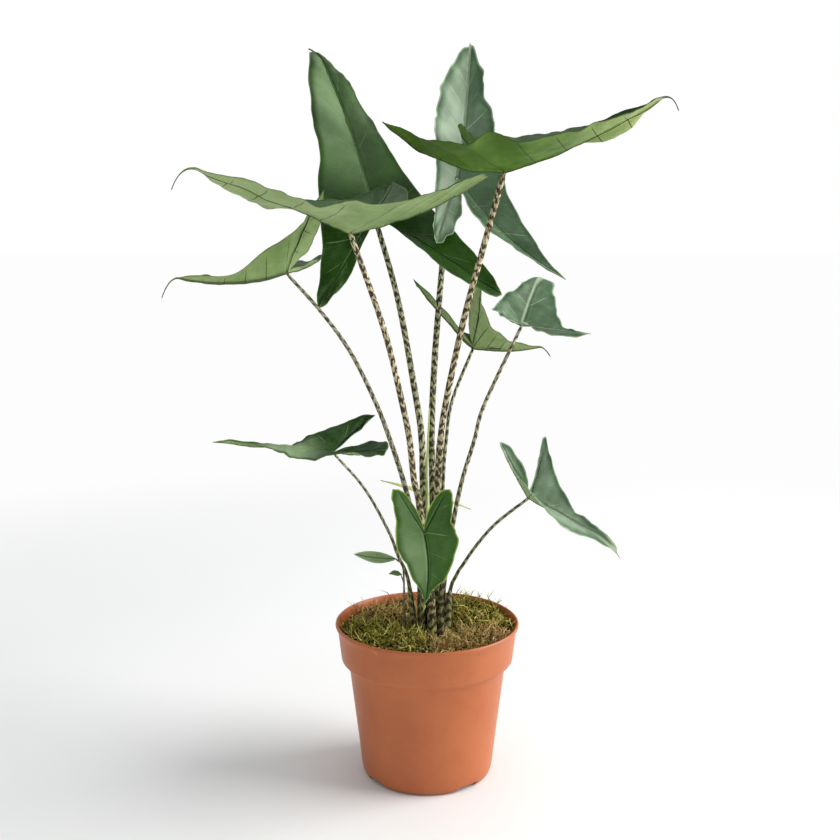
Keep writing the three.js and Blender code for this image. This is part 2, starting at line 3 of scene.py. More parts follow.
import bpy
import numpy as np
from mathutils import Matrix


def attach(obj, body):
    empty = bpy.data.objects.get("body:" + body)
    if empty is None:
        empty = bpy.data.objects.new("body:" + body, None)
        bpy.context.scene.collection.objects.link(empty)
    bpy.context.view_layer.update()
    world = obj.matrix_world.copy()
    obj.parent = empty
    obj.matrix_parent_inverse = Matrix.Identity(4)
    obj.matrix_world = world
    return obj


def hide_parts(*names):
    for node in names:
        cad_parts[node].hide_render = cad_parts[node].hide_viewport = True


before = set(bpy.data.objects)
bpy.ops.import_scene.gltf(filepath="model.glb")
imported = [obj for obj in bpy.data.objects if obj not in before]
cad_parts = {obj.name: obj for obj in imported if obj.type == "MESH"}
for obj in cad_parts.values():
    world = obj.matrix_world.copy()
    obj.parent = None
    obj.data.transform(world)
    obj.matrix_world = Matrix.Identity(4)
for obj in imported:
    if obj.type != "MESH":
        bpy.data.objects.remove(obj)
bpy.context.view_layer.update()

# Sizes below are millimetres, as the plant was measured; meshes are made in metres.
MM = 0.001
BODY = "root"


# Colour and vector helpers

def tone(red, green, blue):
    """A colour given as it looks on screen, 0 to 255, as the linear value that a shader takes."""
    screen = np.array([red, green, blue]) / 255.0
    linear = np.where(screen <= 0.04045, screen / 12.92, ((screen + 0.055) / 1.055) ** 2.4)
    return (*linear.tolist(), 1.0)


def unit(vectors):
    """Vectors scaled to length one; a zero vector stays zero."""
    vectors = np.asarray(vectors, float)
    length = np.linalg.norm(vectors, axis=-1, keepdims=True)
    return vectors / np.maximum(length, 1e-12)


def smoothstep(low, high, x):
    """Rises from 0 at low to 1 at high with level ends."""
    t = np.clip((np.asarray(x, float) - low) / (high - low), 0.0, 1.0)
    return t * t * (3.0 - 2.0 * t)


def bell(x, centre, width):
    """A bump of height one around centre that falls away over width."""
    return np.exp(-(((x - centre) / width) ** 2))


def bezier(points, t):
    """Quadratic or cubic Bezier curve through the first and last of the given points."""
    t = np.asarray(t, float)[..., None]
    s = 1.0 - t
    if len(points) == 3:
        weights = (s * s, 2 * s * t, t * t)
    else:
        weights = (s ** 3, 3 * s * s * t, 3 * s * t * t, t ** 3)
    return sum(w * np.asarray(p, float) for w, p in zip(weights, points))


def tilted(sideways, outward, degrees):
    """The sideways direction turned towards the outward one by an angle."""
    angle = math.radians(degrees)
    return math.cos(angle) * sideways + math.sin(angle) * outward


def ripples(points, wavelength, seed, octaves=3):
    """Smooth uneven values between about -1 and 1: sums of sine waves in fixed random directions,
    each octave half as long and half as strong as the one before."""
    draw = np.random.default_rng(seed)
    total = np.zeros(points.shape[:-1])
    strength = 1.0
    reach = 0.0
    for _ in range(octaves):
        for _ in range(4):
            direction = unit(draw.normal(size=3)) * (2 * np.pi / wavelength)
            total += strength * np.sin(points @ direction + draw.uniform(0, 2 * np.pi))
        reach += 2.0 * strength
        strength *= 0.5
        wavelength *= 0.47
    return total / reach


# Mesh helpers

def grid_triangles(rows, columns, start=0, flip=False):
    """Two triangles for each cell of a grid of points numbered row by row from start."""
    ids = start + np.arange(rows * columns).reshape(rows, columns)
    a, b = ids[:-1, :-1].ravel(), ids[1:, :-1].ravel()
    c, d = ids[1:, 1:].ravel(), ids[:-1, 1:].ravel()
    triangles = np.concatenate([np.stack([a, b, c], 1), np.stack([a, c, d], 1)])
    return triangles[:, ::-1] if flip else triangles


def ring_walls(ids):
    """Triangles between each ring of numbered points and the next; the last axis runs round a ring."""
    wrapped = np.concatenate([ids, ids[..., :1]], axis=-1)
    a, b = wrapped[..., :-1, :-1].ravel(), wrapped[..., :-1, 1:].ravel()
    c, d = wrapped[..., 1:, 1:].ravel(), wrapped[..., 1:, :-1].ravel()
    return np.concatenate([np.stack([a, b, c], 1), np.stack([a, c, d], 1)])


def closed_rings(rings, first, last):
    """A closed body from rings of points, with a middle point added to its first and its last ring."""
    rows, sides = rings.shape[:2]
    ids = np.arange(rows * sides).reshape(rows, sides)
    ahead = np.roll(ids, -1, axis=1)
    low, high = np.full(sides, rows * sides), np.full(sides, rows * sides + 1)
    bottom = np.stack([low, ahead[0], ids[0]], 1)
    top = np.stack([high, ids[-1], ahead[-1]], 1)
    return np.vstack([rings.reshape(-1, 3), first, last]), np.concatenate([ring_walls(ids), bottom, top])


def two_skins(upper, lower, triangles):
    """Two skins that share their triangles, joined along the open edges."""
    count = len(upper)
    edges = np.concatenate([triangles[:, [0, 1]], triangles[:, [1, 2]], triangles[:, [2, 0]]])
    rim = edges[~np.isin(edges[:, 0] * count + edges[:, 1], edges[:, 1] * count + edges[:, 0])]
    a, b = rim[:, 0], rim[:, 1]
    sides = np.concatenate([np.stack([b, a, count + a], 1), np.stack([b, count + a, count + b], 1)])
    return np.concatenate([upper, lower]), np.concatenate([triangles, triangles[:, ::-1] + count, sides])


def point_normals(points, triangles):
    """The area-weighted mean of the normals of the triangles around each point."""
    corners = points[triangles]
    face = np.cross(corners[:, 1] - corners[:, 0], corners[:, 2] - corners[:, 0])
    total = np.zeros_like(points)
    for k in range(3):
        np.add.at(total, triangles[:, k], face)
    return unit(total)


def new_object(name, data):
    """An object in the scene, at the origin, for a mesh, a light or a camera."""
    item = bpy.data.objects.new(name, data)
    bpy.context.scene.collection.objects.link(item)
    return item


def add_piece(name, points, triangles, material, node=None, values=None, sharp=50):
    """Puts one piece into the scene: points in millimetres, triangles, and values at the points
    that its material reads. It rides on the body and stands for its CAD node where one is given."""
    mesh = bpy.data.meshes.new(name)
    mesh.from_pydata((np.asarray(points) * MM).tolist(), [], np.asarray(triangles).tolist())
    for key, value in (values or {}).items():
        kind, slot_name = ("FLOAT_VECTOR", "vector") if value.ndim == 2 else ("FLOAT", "value")
        attribute = mesh.attributes.new(key, kind, "POINT")
        attribute.data.foreach_set(slot_name, np.ascontiguousarray(value, np.float32).ravel())
    mesh.validate()
    mesh.polygons.foreach_set("use_smooth", np.ones(len(mesh.polygons), bool))
    if sharp:
        mesh.set_sharp_from_angle(angle=math.radians(sharp))
    mesh.materials.append(material)
    piece = new_object(name, mesh)
    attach(piece, BODY)
    if node:
        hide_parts(node)
    return piece


# Shader helpers

class Shader:
    """A small writer for node trees: it adds nodes, sets their inputs and links them."""

    def __init__(self, tree):
        self.tree = tree

    def add(self, kind, inputs=None, **settings):
        node = self.tree.nodes.new(kind)
        for key, value in settings.items():
            setattr(node, key, value)
        for key, value in (inputs or {}).items():
            self.feed(node.inputs[key], value)
        return node

    def feed(self, socket, value):
        if isinstance(value, bpy.types.NodeSocket):
            self.tree.links.new(value, socket)
        else:
            socket.default_value = value

    def math(self, operation, *values, clamp=False):
        node = self.add("ShaderNodeMath", dict(enumerate(values)), operation=operation, use_clamp=clamp)
        return node.outputs[0]

    def times(self, first, *others):
        for other in others:
            first = self.math("MULTIPLY", first, other)
        return first

    def scaled(self, value, share, least):
        return self.math("MULTIPLY_ADD", value, share, least)

    def vector(self, operation, first, second=(0, 0, 0)):
        return self.add("ShaderNodeVectorMath", {0: first, 1: second}, operation=operation).outputs

    def blend(self, factor, low, high):
        return self.add("ShaderNodeMix", {0: factor, 6: low, 7: high}, data_type="RGBA").outputs[2]

    def over(self, under, mask, share, colour):
        """A colour laid over another one where the mask is 1, at a share of its full strength."""
        return self.blend(self.times(mask, share), under, colour)

    def ramp(self, value, low, high):
        """0 below low and 1 above high, with a smooth rise; low may be above high to turn it round."""
        plain = isinstance(low, float) and isinstance(high, float)
        limits = (value, high, low, 1.0, 0.0) if plain and low > high else (value, low, high, 0.0, 1.0)
        node = self.add("ShaderNodeMapRange", dict(enumerate(limits)), interpolation_type="SMOOTHSTEP")
        return node.outputs[0]

    def noise(self, scale, detail, vector, roughness=0.55):
        inputs = {"Scale": scale, "Detail": detail, "Roughness": roughness, "Vector": vector}
        return self.add("ShaderNodeTexNoise", inputs).outputs["Fac"]

    def attribute(self, name, output="Fac"):
        return self.add("ShaderNodeAttribute", attribute_name=name).outputs[output]

    def use(self, group, **inputs):
        """The first output of a shader group."""
        return self.add("ShaderNodeGroup", inputs, node_tree=group).outputs[0]


class Finish(Shader):
    """The writer of a new material, with its surface and the object's own coordinates."""

    def __init__(self, name):
        self.material = bpy.data.materials.new(name)
        self.material.use_nodes = True
        super().__init__(self.material.node_tree)
        self.tree.nodes.clear()
        self.surface = self.add("ShaderNodeBsdfPrincipled")
        self.add("ShaderNodeOutputMaterial", {"Surface": self.surface.outputs[0]})
        self.place = self.add("ShaderNodeTexCoord").outputs["Object"]
        self.height = self.add("ShaderNodeSeparateXYZ", {0: self.place}).outputs[2]

    def coat(self, colour, uneven, share, least, specular=0.5):
        """Sets the colour, a roughness that is a share of an uneven value above the least one, and
        the strength of the gloss."""
        inputs = self.surface.inputs
        self.feed(inputs["Base Color"], colour)
        self.feed(inputs["Roughness"], self.scaled(uneven, share, least))
        inputs["Specular IOR Level"].default_value = specular

    def relief(self, height, depth, strength):
        """Feeds a height in as surface relief, its depth in metres, and returns the material."""
        node = self.add("ShaderNodeBump", {"Strength": strength, "Distance": depth, "Height": height})
        self.feed(self.surface.inputs["Normal"], node.outputs[0])
        return self.material


def new_group(name, inputs, output):
    """A shader group with named sockets; inputs gives each one's first value, None for a vector."""
    group = bpy.data.node_groups.new(name, "ShaderNodeTree")
    for label, value in inputs.items():
        kind = "NodeSocketVector" if value is None else "NodeSocketFloat"
        socket = group.interface.new_socket(name=label, in_out="INPUT", socket_type=kind)
        if value is not None:
            socket.default_value = value
    group.interface.new_socket(name=output, in_out="OUTPUT", socket_type="NodeSocketFloat")
    write = Shader(group)
    return group, write, write.add("NodeGroupInput").outputs, write.add("NodeGroupOutput").inputs


def vein_group():
    """Lines where a phase passes a whole number: a mask that is 1 on the line and 0 past its width,
    which is given in the same length as the gap from one line to the next."""
    group, write, given, result = new_group("vein_lines", {"Phase": 0.0, "Gap": 10.0, "Width": 0.6}, "Mask")
    part = write.math("FRACT", write.math("ADD", given["Phase"], 0.5))
    distance = write.times(write.math("ABSOLUTE", write.math("SUBTRACT", part, 0.5)), given["Gap"])
    write.feed(result["Mask"], write.ramp(write.math("DIVIDE", distance, given["Width"]), 1.0, 0.25))
    return group


def mottle_group():
    """Two sizes of soft noise on the object's own coordinates, mixed into one value around 0.5."""
    group, write, given, result = new_group(
        "soft_mottle", {"Vector": None, "Size": 30.0, "Fine": 0.35}, "Value")
    broad = write.noise(given["Size"], 2.0, given["Vector"])
    fine = write.noise(write.times(given["Size"], 7.0), 3.0, given["Vector"])
    write.feed(result["Value"], write.add("ShaderNodeMix", {0: given["Fine"], 2: broad, 3: fine}).outputs[0])
    return group


def band_group():
    """Zebra bands on a stalk: a wave along its length whose phase turns with the place round the stalk
    and is bent by noise, so that the dark bands zigzag, fork and break up into flecks."""
    group, write, given, result = new_group("zebra_bands", {"Place": None, "Turn": 0.0, "Cover": 0.5}, "Mask")
    along = write.add("ShaderNodeSeparateXYZ", {0: given["Place"]}).outputs[2]
    wander = write.math("SUBTRACT", write.noise(1.1, 2.0, given["Place"]), 0.5)
    phase = write.times(write.math("ADD", along, given["Turn"]), 2 * math.pi)
    wave = write.math("SINE", write.scaled(wander, 11.0, phase))
    broken = write.noise(2.6, 3.0, given["Place"], 0.6)
    level = write.math("ADD", write.times(wave, 0.3), write.times(broken, 1.5))
    start = write.math("SUBTRACT", 1.25, given["Cover"])
    write.feed(result["Mask"], write.ramp(level, start, write.math("ADD", start, 0.14)))
    return group


VEINS = vein_group()
MOTTLE = mottle_group()
BANDS = band_group()


# Leaf finish
#
# Each look: two tones of the upper side, the tone of the painted sheen on it, its veins, the crease along its
# ribs (painted groove shade in the darker looks, a pale midrib line in the deep and grey sheen looks), two
# tones of the lower side, its tone towards the apex, its veins, the margin's tone, how strong the painted
# sheen is, how much of it the lobes have, and the least roughness.

LEAF_LOOKS = {
    "deep": ((20, 50, 2), (40, 78, 12), (146, 174, 126), (138, 164, 118), (120, 150, 98), (104, 134, 70),
        (130, 156, 94), (140, 164, 100), (52, 70, 34), (92, 124, 60), 0.75, 0.0, 0.34),
    "fresh": ((38, 78, 14), (56, 98, 26), (150, 174, 128), (140, 168, 110), (26, 58, 10), (104, 134, 70),
        (130, 156, 94), (140, 164, 100), (52, 70, 34), (170, 190, 90), 0.6, 0.6, 0.34),
    "painted_grey_sheen": ((50, 82, 48), (78, 108, 76), (164, 182, 158), (196, 208, 184), (176, 192, 164),
        (120, 148, 96), (150, 172, 124), (150, 172, 122), (70, 90, 58), (172, 192, 158), 0.8, 0.85, 0.44),
    "pale_below": ((30, 56, 18), (52, 82, 42), (104, 128, 92), (110, 140, 96), (24, 50, 22), (126, 152, 92),
        (154, 174, 120), (152, 172, 112), (50, 62, 34), (84, 108, 54), 0.35, 0.6, 0.38),
    "fresh_below": ((26, 56, 8), (44, 84, 18), (80, 112, 58), (96, 130, 72), (18, 42, 10), (68, 104, 18),
        (92, 126, 40), (158, 174, 112), (34, 48, 14), (44, 62, 18), 0.3, 0.6, 0.38),
    "young": ((168, 182, 110), (196, 204, 142), (190, 200, 140), (210, 216, 166), (120, 140, 70),
        (170, 184, 112), (200, 208, 146), (200, 208, 146), (140, 150, 90), (190, 198, 130), 0.2, 1.0, 0.42),
}


def leaf_material(name, look):
    """Leaf skin. The upper side is satin, with broad greyish clouds of painted sheen, faint pale side veins
    and a crease between two pale lines along each rib; the crease is painted as the groove's shade in the
    darker looks and as a pale midrib line in the deep and grey sheen looks. The lower side is matt and
    pale, with thin dark veins, and turns paler towards the apex. Values at the points give the veins' phase
    and gap, the distance from the rib and from the margin in millimetres, the way from the joint
    to the apex, each half's share of painted sheen, and which side of the blade it is."""
    write = Finish(name)
    place = write.place
    (upper_tone, upper_cloud, bloom, upper_vein, crease_shade_and_tone, lower_tone, lower_cloud, far_tone, lower_vein,
     edge_tone) = (tone(*colour) for colour in look[:10])
    painted_grey_sheen, lobe_sheen_share, gloss = look[10:]
    phase, gap = write.attribute("vein_phase"), write.attribute("vein_gap")
    rib, edge = write.attribute("rib_distance"), write.attribute("edge_distance")
    lower_side, along = write.attribute("lower_side"), write.attribute("blade_along")
    patches = write.use(MOTTLE, Vector=place, Size=24.0, Fine=0.3)
    cloudy = write.ramp(patches, 0.36, 0.66)
    broken = write.ramp(write.noise(30.0, 2.0, place), 0.44, 0.62)
    side_vein = write.times(write.use(VEINS, Phase=phase, Gap=gap, Width=0.75), write.ramp(edge, 2.0, 12.0))
    fine_vein = write.use(VEINS, Phase=write.times(phase, 7.0), Gap=write.math("DIVIDE", gap, 7.0), Width=0.6)
    crease = write.ramp(rib, 1.1, 0.4)
    ridge = write.times(write.ramp(rib, 0.5, 0.9), write.ramp(rib, 1.9, 1.1))

    upper = write.blend(cloudy, upper_tone, upper_cloud)
    # Painted sheen: greyish clouds of colour that stand in for reflected light. They are faint on the lobes,
    # strongest between the joint and the apex, and fade at the margin. Each half has its own share, so one
    # half looks lit.
    clouds = write.scaled(write.ramp(write.noise(13.0, 1.5, place), 0.38, 0.62), 0.4, 0.6)
    ahead = write.scaled(write.ramp(along, 0.02, 0.3), 1.0 - lobe_sheen_share, lobe_sheen_share)
    ahead = write.times(ahead, write.scaled(write.ramp(along, 0.45, 0.9), -0.5, 1.0))
    sheen_mask = write.times(clouds, write.ramp(edge, 0.5, 9.0), ahead, write.attribute("bloom_share"))
    upper = write.over(upper, sheen_mask, painted_grey_sheen, bloom)
    seen = write.times(side_vein, broken)
    # The crease colour is painted shade of the rib's groove in the darker looks, and a pale midrib line in the
    # deep and grey sheen looks.
    for mask, share, colour in ((fine_vein, 0.03, upper_vein), (seen, 0.5, upper_vein),
                                (ridge, 0.35, upper_vein), (crease, 0.75, crease_shade_and_tone)):
        upper = write.over(upper, mask, share, colour)

    lower = write.blend(cloudy, lower_tone, lower_cloud)
    lower = write.blend(write.ramp(along, 0.15, 0.9), lower, far_tone)
    for mask, share in ((fine_vein, 0.07), (side_vein, 0.85), (crease, 0.8)):
        lower = write.over(lower, mask, share, lower_vein)
    colour = write.over(write.blend(lower_side, upper, lower), write.ramp(edge, 1.8, 0.3), 0.65, edge_tone)
    write.coat(colour, write.scaled(lower_side, 0.16, write.times(patches, 0.14)), 1.0, gloss, 0.22)
    relief = write.scaled(fine_vein, 0.08, write.times(write.noise(500.0, 1.0, place), 0.1))
    relief = write.times(write.math("SUBTRACT", relief, side_vein), write.ramp(along, 0.75, 0.4))
    return write.relief(relief, 0.0004, 0.5)


def stalk_material(name, cream, dark, tint, cover):
    """Stalk skin with zebra bands: dark bands on a cream ground that is tinted in patches. Towards the
    soil the ground turns a darker olive, partly the stalks' own tone and partly painted shade where the
    crowded bases shade each other, and the bands close up."""
    write = Finish(name)
    low = write.ramp(write.height, 0.32, 0.17)
    place, turn = write.attribute("stalk_place", "Vector"), write.attribute("stalk_turn")
    band = write.use(BANDS, Place=place, Turn=turn, Cover=write.scaled(low, 0.08, cover))
    patches = write.ramp(write.use(MOTTLE, Vector=write.place, Size=60.0, Fine=0.4), 0.35, 0.65)
    ground = write.blend(patches, tone(*cream), tone(*tint))
    # Darker olive towards the soil: partly the stalks' own tone, partly painted shade among the crowded bases.
    ground = write.over(ground, low, 0.75, tone(134, 134, 78))
    write.coat(write.blend(band, ground, tone(*dark)), band, -0.08, 0.5, 0.3)
    grain = write.noise(700.0, 3.0, write.place)
    return write.relief(write.scaled(band, 0.5, grain), 0.0002, 0.6)


def shoot_material(name, light, shade):
    """Pale young tissue: two greens in long soft streaks."""
    write = Finish(name)
    value = write.noise(240.0, 3.0, write.vector("MULTIPLY", write.place, (1.0, 1.0, 0.12))[0])
    write.coat(write.blend(write.ramp(value, 0.35, 0.62), light, shade), value, 0.2, 0.35)
    return write.relief(value, 0.0002, 0.5)


# Blades, from the same shapes as the CAD solids, with fine waves, veins and ribs added
#
# Each blade states the measures named in BLADE_KEYS, and after them what differs from the defaults.
# joint is where the petiole meets the blade; apex and lobes are offsets from it, lobes as left and
# right seen from the upper face. Widths are shares of the midrib's length, folds are degrees, and
# arches, cushions and waves are millimetres out of the blade's plane. widened and raised are the
# unevenness of the left and the right margin: place in hundredths, millimetres, and so on. The
# same with sinus are for the margins between the lobes, and bows bend a rib sideways.

BLADE_KEYS = ("joint", "apex", "lobes", "face_up", "fold", "lobe_fold", "sinus_fold", "width", "lobe_width",
              "sinus_width")
BLADE_DEFAULTS = {
    "reach": (0.42, 0.42), "lobe_reach": (0.95, 0.95), "midrib_arch": 0, "midrib_bow": 0, "lobe_arch": (0, 0),
    "lobe_bow": (0, 0), "taper": (0, 0.1), "web": 0.05, "tip_curl": (0, 0, 0), "curl_from": 0.85,
    "cushions": ((), ()), "waves": ((0, 5, 0), (0, 5, 0)), "widened": ((), ()), "raised": ((), ()),
    "sinus_widened": ((), ()), "sinus_raised": ((), ()), "vein_pairs": (6, 4), "vein_lean": 0.45,
    # share of the painted sheen on the left and the right half; a lower share makes a half look turned from
    # the light
    "bloom_halves": (1, 1),
}


def blade(*measures, **others):
    """One blade: the measures that every blade states, and those that differ from the defaults."""
    return {**BLADE_DEFAULTS, **dict(zip(BLADE_KEYS, measures)), **others}


BLADES = {
    "upper_left": blade((-66, -30, 501), (-148, -45, 60), ((112, -75, 43), (34, 88, 46)), (0.1, 0.1, 0.98),
        (-16, 10), (-5, 6), (30, -40), (0.28, 0.34), (0.13, 0.25), (0.08, 0.19), midrib_arch=3,
        margin_arch=-14, lobe_arch=(-11, -8), taper=(0.07, 0.16), tip_curl=(6, 0, -26), curl_from=0.82,
        waves=((5, 2.8, -2.0), (2, 4, 0)), cushions=(((-3, 0.4, 0.2),), ((-4, 0.3, 0.12),)),
        look="pale_below", vein_lean=-0.35, widened=((), (65, 0, 90, 3)), raised=((15, 3.6, 20, 4.4,
        25, 5.3, 30, 6.8, 35, 7.5, 40, 4, 46, -6, 52, -5, 56, -10, 61, -7, 66, -1, 70, 3, 77, 7, 90, 3),
        (10, 1, 15, 2, 20, -1, 25, -4, 30, -7.5, 35, -10.5, 40, -10, 45, -7.5, 50, -1, 56, -3, 65, 0))),
    "top_left": blade((-50, 65, 520), (-60, 75, 164), ((-49, -35, -87), (117.4, -44, -74.8)),
        (0.35, -0.85, 0.45), (13, 13), (8, 8), (8, 8), (0.18, 0.13), (0.05, 0.06), (0.06, 0.09),
        reach=(0.62, 0.62), midrib_arch=6, midrib_bow=-8, lobe_arch=(-4, 2), taper=(0, 0.06), web=0.03,
        tip_curl=(-6, 6, -5), waves=((2.5, 5, 0), (2.5, 5, 1.3)), look="deep", bloom_halves=(0.85, 0.35),
        cushions=(((2.5, 0.3, 0.25),), ((3, 0.3, 0.25),)), widened=((10, 3, 20, 4, 30, 0, 35, -3, 40, -7,
        45, -8, 50, -6, 55, -7, 65, -8, 75, -6, 85, 0), (20, 1, 25, 1, 30, -2, 35, -4, 40, -8, 45, -9,
        50, -9, 60, -12, 65, -6, 70, 0, 80, 1)), sinus_widened=((25, -2, 50, 3, 62, 1, 75, -2, 85, 0),
        (20, -8, 35, -5, 50, 0, 70, 4, 85, 4))),
    "top_centre": blade((28, 85, 553), (14, 45, 130), ((-19.5, -48, -61.5), (98, -60, -94)),
        (0.1, -0.9, 0.4), (14, 14), (14, 20), (20, 20), (0.3, 0.14), (0.06, 0.05), (0.13, 0.14),
        reach=(0.6, 0.55), lobe_reach=(0.95, 0.45), midrib_arch=-4, midrib_bow=-5, lobe_arch=(4, -6),
        lobe_bow=(0, -16), taper=(0, 0.06), waves=((3, 7, 0), (3, 5, 0)), look="painted_grey_sheen",
        bloom_halves=(1, 0.3), widened=((10, 2, 15, 1, 20, 3, 25, 4, 30, 6, 33, 3, 38, 4, 40, 2, 42, 4,
        45, 2, 50, -3, 60, -5, 65, -4, 70, -5, 80, -1, 90, 1), (5, 4, 10, 5, 15, 6, 21, 9, 25, 5, 30, 2,
        36, 7, 41, 5, 45, 2, 55, 0, 62, -6, 70, -4, 75, -1, 85, -3)), sinus_widened=((30, 0, 45, 2, 55, -1,
        70, 2, 80, -2, 90, 2), (40, 1, 55, 4, 66, 8, 72, 5, 82, 6, 92, 2))),
    "top_right": blade((65, -20, 552), (146, -35, 71), ((-34, 105, 44), (-101, -70, 35)), (-0.1, 0.1, 0.98),
        (14, -14), (8, -4), (30, 30), (0.34, 0.27), (0.2, 0.12), (0.13, 0.08), midrib_arch=-14,
        lobe_arch=(-8, -20), taper=(0.05, 0.13), tip_curl=(-6, 0, -24), curl_from=0.84, waves=((2, 5, 0),
        (3, 4, -1.4)), cushions=(((-13, 0.26, 0.11),), ((-3, 0.4, 0.2),)), look="fresh_below",
        vein_lean=-0.35, raised=((30, 1, 35, 3, 45, 1, 50, 4, 55, 7, 60, 3), (18, -1, 25, 0, 30, -2, 36, -8,
        40, -6, 45, -5, 50, -5, 55.5, 2, 60, -11, 65, -9, 70, -6, 75, -4, 80, -2, 90, 0))),
    "middle_left": blade((-127, 20, 465), (-109, -30, 1), ((33, 20, 75), (28, 80, 16)), (-0.35, 0.1, 0.95),
        (-14, 14), (-6, 6), (-60, 0), (0, 0.24), (0.09, 0.05), (0.17, 0.05), reach=(0.3, 0.42),
        lobe_reach=(0.6, 0.95), midrib_arch=-18, lobe_arch=(6, -6), taper=(0.05, 0.14),
        tip_curl=(2, 0, -22), curl_from=0.84, waves=((3, 3, -1.5), (2, 5, 0)), look="pale_below",
        vein_lean=-0.3, widened=((55, 0, 70, 2), ()), raised=((30, -2, 40, -3, 55, 0), ())),
    "middle_right_back": blade((45, 85, 391), (73, -20, 5), ((-58, 25, 65), (6, -30, 62)),
        (-0.1, 0.5, 0.85), (-30, -10), (-55, -6), (60, 60), (0.1, 0.1), (0.12, 0.13), (0.09, 0.27),
        reach=(0.3, 0.2), lobe_reach=(0.7, 0.8), midrib_arch=-10, lobe_arch=(-5, -5), tip_curl=(0, 0, -12),
        waves=((1.5, 5, 0), (1.5, 5, 1.3)), look="pale_below", widened=((), (55, 1, 65, 3, 75, 3, 90, 2)),
        raised=((50, -3, 60, -5, 70, -1), ()), sinus_widened=((), (30, 4, 60, 5, 85, 4))),
    "middle_right": blade((86, 20, 418), (24, 80, 41), ((-24, -15, 15), (64, 5, -9)), (0, -0.8, 0.6),
        (4, 4), (4, 4), (10, -20), (0.36, 0.2), (0.16, 0.04), (0.1, 0.14), lobe_reach=(0.95, 0.5),
        midrib_arch=18, taper=(0, 0.08), waves=((1.5, 5, 0), (1.5, 5, 1.3)), vein_pairs=(4, 3),
        look="painted_grey_sheen", bloom_halves=(0.4, 0.15), widened=((20, -3, 30, -6, 40, -6, 50, -4, 60, -3, 85, 2),
        (6, 9, 10, 14, 20, 10, 30, 6, 40, 3, 50, 1, 60, -4, 70, -6, 80, -3)), raised=((60, 0, 85, -2), ()),
        sinus_raised=((40, -8, 80, -8), (30, -7, 60, -9, 85, -6))),
    "low_right": blade((89, -45, 273), (73, -35, -37), ((14, 25, 48), (-28, -25, 53)), (0.1, -0.6, 0.8),
        (10, -6), (10, 10), (10, 30), (0.05, 0.3), (0.05, 0.09), (0.02, 0.1), midrib_arch=2,
        lobe_arch=(-3, -3), lobe_bow=(12, 0), tip_curl=(2, 0, -8), curl_from=0.7, waves=((1.2, 5, 0),
        (1.2, 5, 1.3)), vein_pairs=(5, 3), look="painted_grey_sheen", widened=((10, 6, 15, 6, 20, 2.5, 25, -0.5,
        30, -1, 35, -5, 40, -5, 50, -4.5, 60, -3, 70, -1, 80, 1.5, 90, 3.5), (10, -2.5, 15, -3.5, 20, -2,
        25, 0.5, 30, 2.5, 35, 5.5, 40, 9, 45, 9.5, 50, 8.5, 55, 5, 60, 3, 70, 0, 80, 1)),
        sinus_widened=((35, 1, 60, 2.5, 85, 3), (15, 3, 35, 3, 60, 1.5))),
    "low_left": blade((-83, -30, 310), (-101, -25, 14), ((49, -55, 13), (35, 45, 26)), (0, -0.02, 1),
        (-4, -10), (0, 0), (16, 0), (0.36, 0.1), (0.15, 0.12), (0.17, 0.05), web=0, midrib_arch=1,
        lobe_arch=(-3, -3), lobe_bow=(0, 16), waves=((1.2, 5, 0), (1.2, 5, 1.3)), vein_pairs=(5, 3),
        look="deep", widened=((80, 0, 92, 2), ()), raised=((5, 2, 10, 4, 20, 4, 30, 3, 36, 1, 40, -3,
        45, -5, 50, -4, 55, 1, 60, 2, 80, -2, 92, -3), (10, 3, 20, 0, 30, -2, 35, -6, 41, -9, 45, -5, 50, 0,
        60, 0, 70, 4, 85, 3))),
    "low_front": blade((-3, -62, 245), (-1, -32, -60), ((20, 12, 36), (-24, 12, 36)), (0, -0.85, 0.5),
        (6, 6), (6, 6), (6, 6), (0.62, 0.42), (0.13, 0.14), (0.12, 0.1), midrib_arch=3, midrib_bow=8,
        lobe_arch=(2, 2), waves=((0.8, 4, 0), (0.8, 4, 1.3)), vein_pairs=(4, 2), look="fresh",
        bloom_halves=(0.15, 1), widened=((10, -5, 15, -7, 20, -5, 25, -1, 40, 0, 50, 2, 55, -1, 60, -5,
        65, -3, 75, 0, 85, 2, 93, 2), (5, -3, 10, -7, 15, -8, 20, -7, 25, -5, 35, -5, 40, -2, 45, 0, 55, -1,
        60, -3, 70, -1, 80, 2, 92, 3))),
}
JOINT_SHARE = 0.58       # share of the outer margin that lies ahead of the joint
APEX_ROWS, LOBE_ROWS, BLADE_COLUMNS = 56, 40, 20
SKIN = 0.45              # thickness of a blade
RIB_DEPTH = 1.5          # how far the midrib stands out of the lower side
RIB_HALF_WIDTH = 1.5
GROOVE_DEPTH = 1.0       # how far the upper side sinks along a rib


def blade_axes(ahead, face_up):
    """Three directions: ahead along the midrib, out of the upper face, and to its left."""
    ahead = unit(ahead)
    face_up = np.asarray(face_up, float)
    out = unit(face_up - (face_up @ ahead) * ahead)
    return ahead, out, np.cross(out, ahead)


def eased(track, u):
    """A margin's shift at u, eased from each stated place to the next and 0 at both ends."""
    places, values = np.array([0, 0, *track, 100, 0], float).reshape(-1, 2).T
    places = places / 100
    k = np.clip(np.searchsorted(places, u, side="right") - 1, 0, len(places) - 2)
    t = smoothstep(0, 1, (u - places[k]) / (places[k + 1] - places[k]))
    return values[k] + t * (values[k + 1] - values[k])


